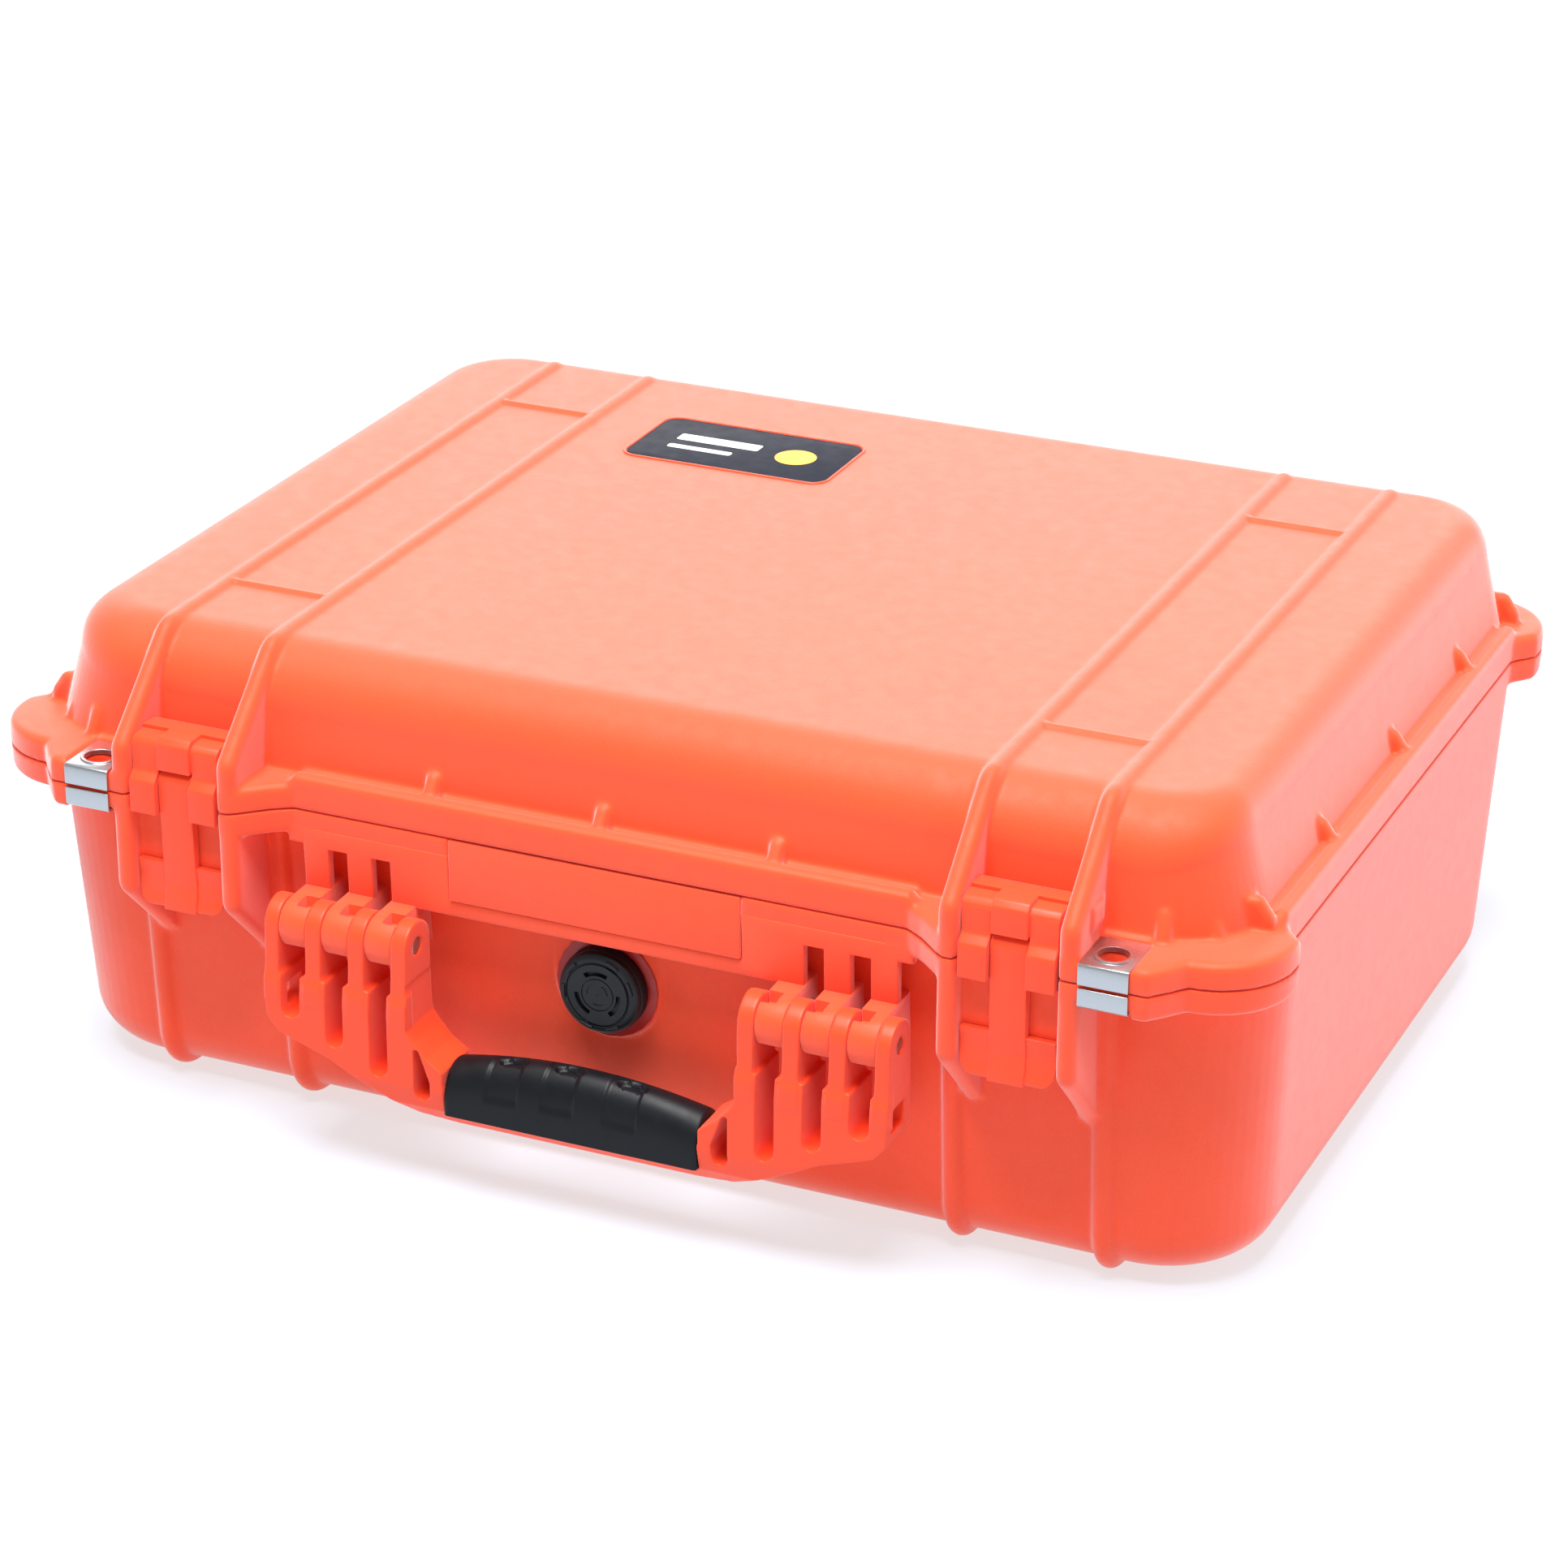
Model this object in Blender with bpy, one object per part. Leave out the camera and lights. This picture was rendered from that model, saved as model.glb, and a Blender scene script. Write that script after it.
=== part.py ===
"""Hard equipment case: ribbed moulded base and lid, two double-throw latches, a folding handle,
a pressure valve, rear hinge pins and steel padlock plates.

Metres, +Z up. The origin is on the floor under the middle of the case, the latches and the handle
face -Y, and the hinges are at +Y. The case stands on the ribs under its base.
"""

import math

import bmesh
import bpy

# Driving dimensions of the two shells.
PARTING_Z = 0.1328
PARTING_GAP = 0.0005
LID_BOTTOM = PARTING_Z + PARTING_GAP / 2
BASE_TOP = PARTING_Z - PARTING_GAP / 2
LID_TOP_Z = 0.1860
RIB_TOP_Z = 0.1880
FLOOR_SKIN_Z = 0.0035
GAP = 0.0003
TRIM = 0.0010

# Rim flange: straight sides, bulged corners, and a deeper zone that carries latches and hinges.
FLANGE_X = 0.2434
FLANGE_Y = 0.1788
ZONE_Y = 0.1940
REAR_ZONE_Y = 0.1915
CORNER_CENTRE = (0.2215, 0.1520)
CORNER_R = 0.0295
FLANGE_LOW = 0.1227
FLANGE_TOP = 0.1424
LEDGE_TOP = 0.1475

# Base walls: half width, front and rear at the floor line, growing with height by the draft.
WALL_X = 0.2375
WALL_FRONT = 0.1595
WALL_REAR = 0.1650
DRAFT_X = 0.0443
DRAFT_Y = 0.0725
WALL_CORNER_R = 0.0420
WALL_FOOT_R = 0.0180

# Ribs: pairs that run over the lid, guard the latches and hinges, and end as feet.
RIB_X = (0.1400, 0.1838)
RIB_WIDTH = 0.0076
FOOT_X = (0.1323, 0.1884)
FOOT_PROUD = 0.0035
POCKET = (RIB_X[0] + RIB_WIDTH / 2, RIB_X[1] - RIB_WIDTH / 2)
LATCH_POCKET = (POCKET[0] - 0.0010, POCKET[1] + 0.0010)
RIB_INNER_FACE = RIB_X[0] - RIB_WIDTH / 2
RIB_OUTER_FACE = RIB_X[1] + RIB_WIDTH / 2
CROSS_BAR_Y = 0.1105
LATCH_PLATE_Y = 0.1865

# Seal loop in the rim: half width, front, rear, corner radius.
SEAL_LOOP = (0.2378, 0.1655, 0.1710, 0.0380)
SEAL_Z = 0.1360
SEAL_R = 0.0020
GROOVE_WIDTH = 0.0046
GROOVE_TOP = 0.1384
TONGUE_WIDTH = 0.0022
TONGUE_TOP = 0.1337

# Axes of everything that turns, as (y, z). They all run along X.
HINGE_AXIS = (0.1923, 0.1340)
HOOK_AXIS = (-0.1755, 0.1515)
LEVER_AXIS = (-0.1868, 0.1392)
HANDLE_AXIS = (-0.1889, 0.0935)
HINGE_PIN_R = 0.0020
LATCH_PIN_R = 0.0015
HANDLE_PIN_R = 0.0030
PIN_CLEARANCE = 0.0003
KNUCKLE_R = 0.0080

# Latches, between the ribs of each pair.
LATCH_X = (POCKET[0] + POCKET[1]) / 2
LATCH_WIDTH = 0.0354
STRIP_WIDTH = 0.0134
LEVER_END_R = 0.0043

# Padlock plates outboard of each latch.
PLATE_X = (0.1880, 0.2060)
PLATE_SEAT = (RIB_OUTER_FACE - 0.0010, PLATE_X[1] + GAP)
PLATE_SKIN = 0.0012
PADLOCK_HOLE = (0.1970, -0.1846)
PADLOCK_R = 0.0055
PLATE_SEAT_Z = 0.1399
LUG_LOW = 0.1262
PLATE_FRONT = 0.1935

# Handle: the knuckles on the base stand between the fingers of the handle.
KNUCKLES = ((0.0714, 0.0818), (0.0888, 0.0994), (0.1063, 0.1167))
FINGER_SPAN = (0.0648, 0.1225)
HANDLE_CROWN_R = 0.0094
WEB_TOP = 0.0763
HANDLE_SLOTS = ((0.0727, 0.0798, 0.0431), (0.0907, 0.0977, 0.0511), (0.1083, 0.1157, 0.0596))
EYE_SLOT = ((0.0560, 0.0374), (0.0621, 0.0374), (0.0621, 0.0576), (0.0600, 0.0572), (0.0556, 0.0450))
GRIP_HALF = 0.0500
GRIP_LOW = 0.0333
GRIP_END_TOP = 0.0522
GRIP_ARCH = 0.0058
CORE_TOP = 0.0440
CORE_FRONT = -0.1960
CORE_BACK = -0.1828
HANDLE_FRONT = -0.2003
HANDLE_BACK = -0.1785

# Front apron under the rim, and the plate set into it.
APRON_LOW = 0.1020
APRON_SKIN = 0.0035
APRON_HALF = 0.1165
APRON_WING = 0.1217
APRON_SLOTS = ((0.0812, 0.0888), (0.0988, 0.1065))
APRON_SLOT_TOP = 0.1187
NAMEPLATE_HALF = 0.0571
NAMEPLATE_LOW = 0.1084
NAMEPLATE_SKIN = 0.0016

# Pressure valve, through the front wall.
VALVE_Z = 0.0812
VALVE_PAD_Y = -0.1668
VALVE_R = 0.0163
STEM_R = 0.0090

# Badge on the lid.
BADGE_CENTRE = (-0.0674, 0.0997)
BADGE_SIZE = (0.0874, 0.0470)
BADGE_CORNER_R = 0.0060

ORANGE = (0.90, 0.13, 0.045)
BLACK = (0.018, 0.020, 0.024)
STEEL = (0.62, 0.63, 0.65)


def clear_scene():
    """Remove whatever the file holds already."""
    for old in list(bpy.data.objects):
        bpy.data.objects.remove(old)


def material(name, colour, roughness, metallic=0.0):
    """A Principled material, made once for each name."""
    if name in bpy.data.materials:
        return bpy.data.materials[name]
    made = bpy.data.materials.new(name)
    made.use_nodes = True
    shader = made.node_tree.nodes["Principled BSDF"]
    shader.inputs["Base Color"].default_value = (*colour, 1.0)
    shader.inputs["Roughness"].default_value = roughness
    shader.inputs["Metallic"].default_value = metallic
    return made


def finish_with(obj, name, colour, roughness, metallic=0.0):
    """Give an object its material and smooth shading between its sharp edges."""
    obj.data.materials.clear()
    obj.data.materials.append(material(name, colour, roughness, metallic))
    obj.data.shade_smooth()
    obj.data.set_sharp_from_angle(angle=math.radians(35))
    return obj


def mesh_object(name, vertices, faces):
    """A linked object from points and faces, with its normals turned outwards."""
    mesh = bpy.data.meshes.new(name)
    mesh.from_pydata(vertices, [], faces)
    shape = bmesh.new()
    shape.from_mesh(mesh)
    bmesh.ops.recalc_face_normals(shape, faces=shape.faces)
    shape.to_mesh(mesh)
    shape.free()
    obj = bpy.data.objects.new(name, mesh)
    bpy.context.scene.collection.objects.link(obj)
    return obj


def loft(name, rings, closed=False):
    """A solid through rings of equal count: capped at both ends, or closed into a loop."""
    count = len(rings[0])
    vertices = [point for ring in rings for point in ring]
    faces = []
    spans = len(rings) if closed else len(rings) - 1
    for r in range(spans):
        here = r * count
        there = (r + 1) % len(rings) * count
        for i in range(count):
            j = (i + 1) % count
            faces.append((here + i, here + j, there + j, there + i))
    if not closed:
        faces.append(tuple(range(count))[::-1])
        faces.append(tuple(range(len(vertices) - count, len(vertices))))
    return mesh_object(name, vertices, faces)


def in_space(outline, axis, offset):
    """A flat outline placed in space: the axis it faces takes the offset."""
    if axis == "x":
        return [(offset, u, v) for u, v in outline]
    if axis == "y":
        return [(u, offset, v) for u, v in outline]
    return [(u, v, offset) for u, v in outline]


def prism(name, outline, axis, low, high):
    """An outline extruded along an axis."""
    return loft(name, [in_space(outline, axis, low), in_space(outline, axis, high)])


def block(name, xs, ys, zs):
    """A box from its three ranges."""
    outline = [(xs[0], ys[0]), (xs[1], ys[0]), (xs[1], ys[1]), (xs[0], ys[1])]
    return prism(name, outline, "z", zs[0], zs[1])


def circle(centre, radius, steps, start=0.0):
    """Points round a circle."""
    turn = 2 * math.pi / steps
    return [
        (centre[0] + radius * math.cos(start + i * turn), centre[1] + radius * math.sin(start + i * turn))
        for i in range(steps)
    ]


def arc(centre, radius, start, end, steps):
    """Points along an arc, angles in degrees."""
    points = []
    for i in range(steps + 1):
        angle = math.radians(start + (end - start) * i / steps)
        points.append((centre[0] + radius * math.cos(angle), centre[1] + radius * math.sin(angle)))
    return points


def rounded(points, radii, steps=3):
    """An outline with each corner replaced by an arc of its own radius; 0 keeps it sharp."""
    result = []
    for i, (u, v) in enumerate(points):
        radius = radii[i] if isinstance(radii, (list, tuple)) else radii
        if radius == 0:
            result.append((u, v))
            continue
        before = points[i - 1]
        after = points[(i + 1) % len(points)]
        a = math.atan2(before[1] - v, before[0] - u)
        b = math.atan2(after[1] - v, after[0] - u)
        half = (b - a) / 2
        while half > math.pi / 2:
            half -= math.pi
        while half < -math.pi / 2:
            half += math.pi
        reach = radius / math.sin(abs(half))
        middle = (u + reach * math.cos(a + half), v + reach * math.sin(a + half))
        swing = math.pi / 2 - abs(half)
        sign = 1 if half > 0 else -1
        towards = math.atan2(v - middle[1], u - middle[0])
        for k in range(steps + 1):
            angle = towards + sign * swing * (1 - 2 * k / steps)
            result.append((middle[0] + radius * math.cos(angle), middle[1] + radius * math.sin(angle)))
    return result


def shifted(outline, distance):
    """An outline moved outwards along its own normals. It runs anticlockwise."""
    count = len(outline)
    moved = []
    for i in range(count):
        before = outline[i - 1]
        here = outline[i]
        after = outline[(i + 1) % count]
        n1 = edge_normal(before, here)
        n2 = edge_normal(here, after)
        spread = max(0.35, 1 + n1[0] * n2[0] + n1[1] * n2[1])
        moved.append(
            (
                here[0] + distance * (n1[0] + n2[0]) / spread,
                here[1] + distance * (n1[1] + n2[1]) / spread,
            )
        )
    return moved


def edge_normal(a, b):
    """Unit normal to the right of the edge from a to b."""
    du = b[0] - a[0]
    dv = b[1] - a[1]
    length = math.hypot(du, dv) or 1.0
    return dv / length, -du / length


def combine(target, tool, operation):
    """Boolean the tool into the target and drop the tool."""
    step = target.modifiers.new("step", "BOOLEAN")
    step.operation = operation
    step.solver = "EXACT"
    step.object = tool
    bpy.context.view_layer.update()
    seen = target.evaluated_get(bpy.context.evaluated_depsgraph_get())
    result = bpy.data.meshes.new_from_object(seen)
    target.modifiers.clear()
    old = target.data
    target.data = result
    bpy.data.meshes.remove(old)
    result.name = target.name
    bpy.data.objects.remove(tool)
    return target


def add(target, tool):
    return combine(target, tool, "UNION")


def cut(target, tool):
    return combine(target, tool, "DIFFERENCE")


def keep_common(target, tool):
    return combine(target, tool, "INTERSECT")


def rod(name, axis, xs, radius, steps=12):
    """A round bar along X about an axis given as (y, z)."""
    return prism(name, circle(axis, radius, steps, math.pi / steps), "x", xs[0], xs[1])


def mirrored(xs, side):
    """An X range on the right (+1) or the left (-1)."""
    return tuple(sorted((side * xs[0], side * xs[1])))


def oblong(half_x, front, rear, corner, steps=5):
    """A rounded rectangle, anticlockwise from its front left corner."""
    corners = [(-half_x, -front), (half_x, -front), (half_x, rear), (-half_x, rear)]
    return rounded(corners, corner, steps)


def flange_outline():
    """Plan outline of the rim, one quarter mirrored four ways, anticlockwise."""
    quarter = [(APRON_WING, FLANGE_Y), (0.1263, 0.1838), (0.1384, ZONE_Y)]
    quarter += [(0.2121, ZONE_Y), (0.2165, 0.1890)]
    quarter += arc(CORNER_CENTRE, CORNER_R, 88, 0, 7)
    quarter += [(0.2492, 0.1462), (FLANGE_X, 0.1394)]
    right_front = [(x, -y) for x, y in quarter]
    right_rear = [(x, min(y, REAR_ZONE_Y)) for x, y in quarter[::-1]]
    left_rear = [(-x, min(y, REAR_ZONE_Y)) for x, y in quarter]
    left_front = [(-x, -y) for x, y in quarter[::-1]]
    return right_front + right_rear + left_rear + left_front


def rib(name, x, crown, root, steps=5):
    """A rib across X: its crown is half round with a flat line along it, its root is buried."""
    rings = []
    radius = RIB_WIDTH / 2
    flat = math.cos(math.pi / 2 / steps)
    for i in range(steps + 1):
        angle = math.radians(-90 + 180 * i / steps)
        lowered = lowered_crown(crown, radius * (flat - math.cos(angle)))
        rings.append(in_space(lowered + root, "x", x + radius * math.sin(angle)))
    return loft(name, rings)


def lowered_crown(crown, drop):
    """The crown line moved in by the same distance all along. Its outer side is on its right."""
    result = []
    last = len(crown) - 1
    for i, here in enumerate(crown):
        n1 = edge_normal(crown[max(i - 1, 0)], crown[max(i, 1)])
        n2 = edge_normal(crown[min(i, last - 1)], crown[min(i + 1, last)])
        spread = 1 + n1[0] * n2[0] + n1[1] * n2[1]
        result.append(
            (here[0] - drop * (n1[0] + n2[0]) / spread, here[1] - drop * (n1[1] + n2[1]) / spread)
        )
    return result


def bend(points, radii, steps=3):
    """An open line with its inner corners rounded."""
    return rounded(points, [0, *radii, 0], steps)


def base_wall(z):
    """Half width, front and rear distances of the base's outer wall at a height."""
    return WALL_X + DRAFT_X * z, WALL_FRONT + DRAFT_Y * z, WALL_REAR + DRAFT_Y * z


def base_tub():
    """Outer form of the base, with a rounded foot."""
    rings = []
    for i in range(5):
        angle = math.radians(90 * i / 4)
        inset = WALL_FOOT_R * (1 - math.sin(angle))
        z = FLOOR_SKIN_Z + WALL_FOOT_R * (1 - math.cos(angle))
        x, front, rear = base_wall(z)
        ring = oblong(x - inset, front - inset, rear - inset, WALL_CORNER_R - inset)
        rings.append(in_space(ring, "z", z))
    x, front, rear = base_wall(BASE_TOP)
    rings.append(in_space(oblong(x, front, rear, WALL_CORNER_R), "z", BASE_TOP + TRIM))
    return loft("base_shell", rings)


def base_cavity():
    """Inside of the base: drafted walls and a rounded floor edge."""
    floor = 0.0085
    foot = 0.0120
    rings = []
    for i in range(4):
        angle = math.radians(90 * i / 3)
        inset = foot * (1 - math.sin(angle))
        z = floor + foot * (1 - math.cos(angle))
        ring = oblong(0.2320 - inset, 0.1560 - inset, 0.1615 - inset, 0.0340 - inset)
        rings.append(in_space(ring, "z", z))
    rings.append(in_space(oblong(0.2346, 0.1611, 0.1666, 0.0340), "z", BASE_TOP + 2 * TRIM))
    return loft("base_cavity", rings)


def base_flange():
    """Rim of the base."""
    outline = flange_outline()
    rings = [
        in_space(shifted(outline, -0.0030), "z", FLANGE_LOW),
        in_space(shifted(outline, -0.0007), "z", FLANGE_LOW + 0.0018),
        in_space(outline, "z", BASE_TOP + TRIM),
    ]
    return loft("base_flange", rings)


def add_base_ribs(shell):
    """Latch guards in front, hinge guards behind, and the rails that the case stands on."""
    top = BASE_TOP + TRIM
    front_guard = bend([(-ZONE_Y, top), (-ZONE_Y, 0.0940), (-0.1610, 0.0610)], [0.008])
    front_root = [(-0.1570, 0.0610), (-0.1570, top)]
    rear_guard = bend([(0.1660, 0.0610), (0.1975, 0.0940), (0.1975, 0.1246)], [0.008])
    rear_root = [(0.1620, 0.1246), (0.1620, 0.0610)]
    for side in (-1, 1):
        for x in FOOT_X:
            add(shell, foot_rail(side * x))
        for x in RIB_X:
            add(shell, rib("guard", side * x, front_guard, front_root))
            add(shell, rib("guard", side * x, rear_guard, rear_root))


def foot_rail(x):
    """A rib down the front wall, under the floor and up the rear wall."""
    top = 0.1240
    bottom_r = WALL_FOOT_R + FOOT_PROUD
    front_top = base_wall(top)[1] + FOOT_PROUD
    rear_top = base_wall(top)[2] + FOOT_PROUD
    front_low = base_wall(0.0)[1] + FOOT_PROUD
    rear_low = base_wall(0.0)[2] + FOOT_PROUD
    crown = bend(
        [(-front_top, top), (-front_low, 0.0), (rear_low, 0.0), (rear_top, top)], [bottom_r, bottom_r], 4
    )
    root = [(0.1640, top), (0.1580, 0.0150), (-0.1530, 0.0150), (-0.1590, top)]
    return rib("foot_rail", x, crown, root)


def add_apron(shell):
    """The apron that hangs from the front rim, slotted above the handle fingers."""
    face = [
        (-0.1785, FLANGE_LOW + 0.0030),
        (-0.1773, APRON_LOW),
        (-0.1773 + APRON_SKIN, APRON_LOW),
        (-0.1785 + APRON_SKIN, FLANGE_LOW + 0.0030),
    ]
    add(shell, prism("apron", face, "x", -APRON_HALF, APRON_HALF))
    wing = [(-0.1785, 0.1260), (-0.1782, 0.1195), (-0.1747, 0.1195), (-0.1750, 0.1260)]
    add(shell, prism("apron_wings", wing, "x", -APRON_WING, APRON_WING))
    for side in (-1, 1):
        for xs in APRON_SLOTS:
            cut(shell, block("slot", mirrored(xs, side), (-0.1800, -0.1700), (0.0900, APRON_SLOT_TOP)))


def add_latch_plates(shell):
    """The flat plate that each latch lies against, between its two guards."""
    top = BASE_TOP + TRIM
    face = [
        (-LATCH_PLATE_Y, top),
        (-LATCH_PLATE_Y, 0.0960),
        (-LATCH_PLATE_Y + 0.0040, 0.0960),
        (-LATCH_PLATE_Y + 0.0040, 0.1250),
        (-0.1640, 0.1250),
        (-0.1640, top),
    ]
    for side in (-1, 1):
        add(shell, prism("latch_plate", face, "x", *mirrored(LATCH_POCKET, side)))


def add_handle_knuckles(shell):
    """Arms from the front wall that end in the barrels of the handle pins."""
    y, z = HANDLE_AXIS
    barrel = arc(HANDLE_AXIS, 0.0090, 100, 285, 8)
    arm = barrel + [(-0.1640, 0.0850), (-0.1640, 0.1033), (-0.1880, 0.1026)]
    for side in (-1, 1):
        for xs in KNUCKLES:
            lo, hi = mirrored(xs, side)
            add(shell, prism("knuckle", arm, "x", lo, hi))
            notch = mirrored((xs[0] - 0.0010, xs[0] + 0.0057), side)
            cut(shell, block("notch", notch, (y - 0.0036, y + 0.0038), (z + 0.0045, z + 0.0200)))
        hole = mirrored((KNUCKLES[0][0] - 0.001, KNUCKLES[-1][1] + 0.001), side)
        cut(shell, rod("pin_hole", HANDLE_AXIS, hole, HANDLE_PIN_R + PIN_CLEARANCE))


def add_hinge_lugs(shell):
    """Two lugs for each hinge, between the ribs of the lid."""
    y = HINGE_AXIS[0]
    profile = arc(HINGE_AXIS, KNUCKLE_R - 0.0005, 0, 180, 8)
    profile += [(y - KNUCKLE_R + 0.0005, 0.1240), (0.1690, 0.1200), (0.1690, 0.0960), (0.1880, 0.1060)]
    profile += [(y + KNUCKLE_R - 0.0005, 0.1180)]
    width = 0.0100
    inner = POCKET[0] + GAP
    outer = POCKET[1] - GAP
    for side in (-1, 1):
        for xs in ((inner, inner + width), (outer - width, outer)):
            add(shell, prism("lug", profile, "x", *mirrored(xs, side)))
        hole = mirrored((inner - 0.001, outer + 0.001), side)
        cut(shell, rod("pin_hole", HINGE_AXIS, hole, HINGE_PIN_R + PIN_CLEARANCE))


def add_valve_pad(shell):
    """The raised pad that the valve seats on."""
    outline = [(0.0210, 0.1200), (-0.0210, 0.1200)]
    outline += arc((0.0, VALVE_Z), 0.0210, 180, 360, 10)
    add(shell, prism("valve_pad", outline, "y", VALVE_PAD_Y, -0.1600))


def base_shell():
    """The base as one moulding."""
    shell = base_tub()
    add(shell, base_flange())
    for side in (-1, 1):
        pocket = mirrored(LATCH_POCKET, side)
        cut(shell, block("latch_pocket", pocket, (-0.2100, -LATCH_PLATE_Y + 0.0005), (0.1100, 0.1500)))
        hinge = mirrored((RIB_INNER_FACE - GAP, RIB_OUTER_FACE + GAP), side)
        cut(shell, block("hinge_pocket", hinge, (0.1765, 0.2100), (0.1250, 0.1500)))
        seat = mirrored(PLATE_SEAT, side)
        cut(shell, block("plate_front", seat, (-0.2100, -PLATE_FRONT), (0.1100, 0.1500)))
        cut(shell, block("plate_low", seat, (-0.2100, -0.1731), (0.1100, LUG_LOW)))
    add_base_ribs(shell)
    add_latch_plates(shell)
    add_apron(shell)
    add_valve_pad(shell)
    add_handle_knuckles(shell)
    cut(shell, base_cavity())
    cut(shell, block("trim", (-0.3, 0.3), (-0.3, 0.3), (BASE_TOP, BASE_TOP + 0.0500)))
    add_hinge_lugs(shell)
    for side in (-1, 1):
        hole = (side * PADLOCK_HOLE[0], PADLOCK_HOLE[1])
        cut(shell, prism("padlock_hole", circle(hole, PADLOCK_R + GAP, 16), "z", 0.1100, 0.1500))
    valve_bore = circle((0.0, VALVE_Z), STEM_R + GAP, 24)
    cut(shell, prism("valve_bore", valve_bore, "y", -0.1800, -0.1500))
    recess = (-NAMEPLATE_HALF - GAP, NAMEPLATE_HALF + GAP)
    depth = -FLANGE_Y + NAMEPLATE_SKIN + GAP
    cut(shell, block("nameplate_recess", recess, (-0.2000, depth), (NAMEPLATE_LOW - GAP, 0.1400)))
    add(shell, seal_ring("tongue", TONGUE_WIDTH, BASE_TOP - 0.0020, TONGUE_TOP))
    return finish_with(shell, "base_plastic", ORANGE, 0.48)


def seal_ring(name, width, low, high):
    """A loop of rectangular section along the seal line."""
    half_x, front, rear, corner = SEAL_LOOP
    half = width / 2
    outer = oblong(half_x + half, front + half, rear + half, corner + half)
    inner = oblong(half_x - half, front - half, rear - half, corner - half)
    rings = [
        in_space(inner, "z", low),
        in_space(outer, "z", low),
        in_space(outer, "z", high),
        in_space(inner, "z", high),
    ]
    return loft(name, rings, closed=True)


def lid_gasket():
    """The round seal cord in the lid's groove."""
    half_x, front, rear, corner = SEAL_LOOP
    rings = []
    for i in range(8):
        angle = math.radians(45 * i)
        out = SEAL_R * math.cos(angle)
        ring = oblong(half_x + out, front + out, rear + out, corner + out)
        rings.append(in_space(ring, "z", SEAL_Z + SEAL_R * math.sin(angle)))
    gasket = loft("lid_gasket", rings, closed=True)
    return finish_with(gasket, "seal_rubber", BLACK, 0.75)


def dome_ring(half_x, front, rear, corner, z_front, z_side, z_rear, steps=5):
    """A rounded rectangle whose four sides may lie at different heights."""
    flat = oblong(half_x, front, rear, corner, steps)
    heights = []
    for start, end in ((z_side, z_front), (z_front, z_side), (z_side, z_rear), (z_rear, z_side)):
        heights += [start + (end - start) * k / steps for k in range(steps + 1)]
    return [(x, y, z) for (x, y), z in zip(flat, heights)]


def lid_dome(name, skin):
    """The lid's domed form, or its inside where skin is the wall thickness."""
    edge = {"front": 0.0230, "side": 0.0140, "rear": 0.0120}
    top = LID_TOP_Z - skin
    rings = [in_space(oblong(0.2357 - skin, 0.1693 - skin, 0.1757 - skin, 0.0340 - skin), "z", 0.1380)]
    for i in range(6):
        angle = math.radians(90 * i / 5)
        inward = 1 - math.cos(angle)
        drop = 1 - math.sin(angle)
        rings.append(
            dome_ring(
                0.2284 - skin - edge["side"] * inward,
                0.1665 - skin - edge["front"] * inward,
                0.1745 - skin - edge["rear"] * inward,
                0.0320 - skin - 0.0120 * inward,
                top - edge["front"] * drop,
                top - edge["side"] * drop,
                top - edge["rear"] * drop,
            )
        )
    return loft(name, rings)


def lid_flange():
    """Rim of the lid, its top edge rounded."""
    outline = flange_outline()
    levels = [(LID_BOTTOM, 0.0), (FLANGE_TOP - 0.0026, 0.0)]
    levels += [(FLANGE_TOP - 0.0008, -0.0008), (FLANGE_TOP, -0.0026)]
    rings = [in_space(shifted(outline, out), "z", z) for z, out in levels]
    return loft("lid_flange", rings)


def ledge_section(outer, inner, top):
    """Section of the raised ledge along a straight side of the rim."""
    return [
        (inner, LID_BOTTOM + 0.0010),
        (outer, LID_BOTTOM + 0.0010),
        (outer, top - 0.0026),
        (outer - 0.0008, top - 0.0008),
        (outer - 0.0026, top - 0.0001),
        (inner, top),
    ]


def add_ledges(shell):
    """Raised ledges on the four straight sides, sloping down at their ends."""
    for side in (-1, 1):
        rings = []
        for y, top in ((-0.1470, 0.1408), (-0.1380, LEDGE_TOP), (0.1380, LEDGE_TOP), (0.1470, 0.1408)):
            section = ledge_section(FLANGE_X, 0.2250, top)
            rings.append([(side * x, y, z) for x, z in section])
        add(shell, loft("side_ledge", rings))
        rings = []
        for x, top in ((-0.1235, 0.1408), (-0.1180, 0.1460), (0.1180, 0.1460), (0.1235, 0.1408)):
            section = ledge_section(FLANGE_Y, 0.1620, top)
            rings.append([(x, side * y, z) for y, z in section])
        add(shell, loft("end_ledge", rings))


def lid_rib(x):
    """A rib over the lid: down to the parting line in front, round the hinge pin behind."""
    y, z = HINGE_AXIS
    barrel = arc(HINGE_AXIS, KNUCKLE_R, 0, -175, 7)[::-1]
    crown = [(-ZONE_Y, LID_BOTTOM), (-ZONE_Y, 0.1515), (-0.1560, RIB_TOP_Z), (0.1640, RIB_TOP_Z)]
    crown += [(y + KNUCKLE_R, 0.1500), (y + KNUCKLE_R, z)]
    crown = bend(crown, [0.007, 0.012, 0.010, 0.007])
    crown = barrel + crown[::-1][1:]
    root = [(-0.1650, LID_BOTTOM), (-0.1600, 0.1500), (-0.1500, 0.1750)]
    root += [(0.1600, 0.1750), (0.1680, 0.1500), (0.1700, 0.1375)]
    return rib("lid_rib", x, crown, root)


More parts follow.
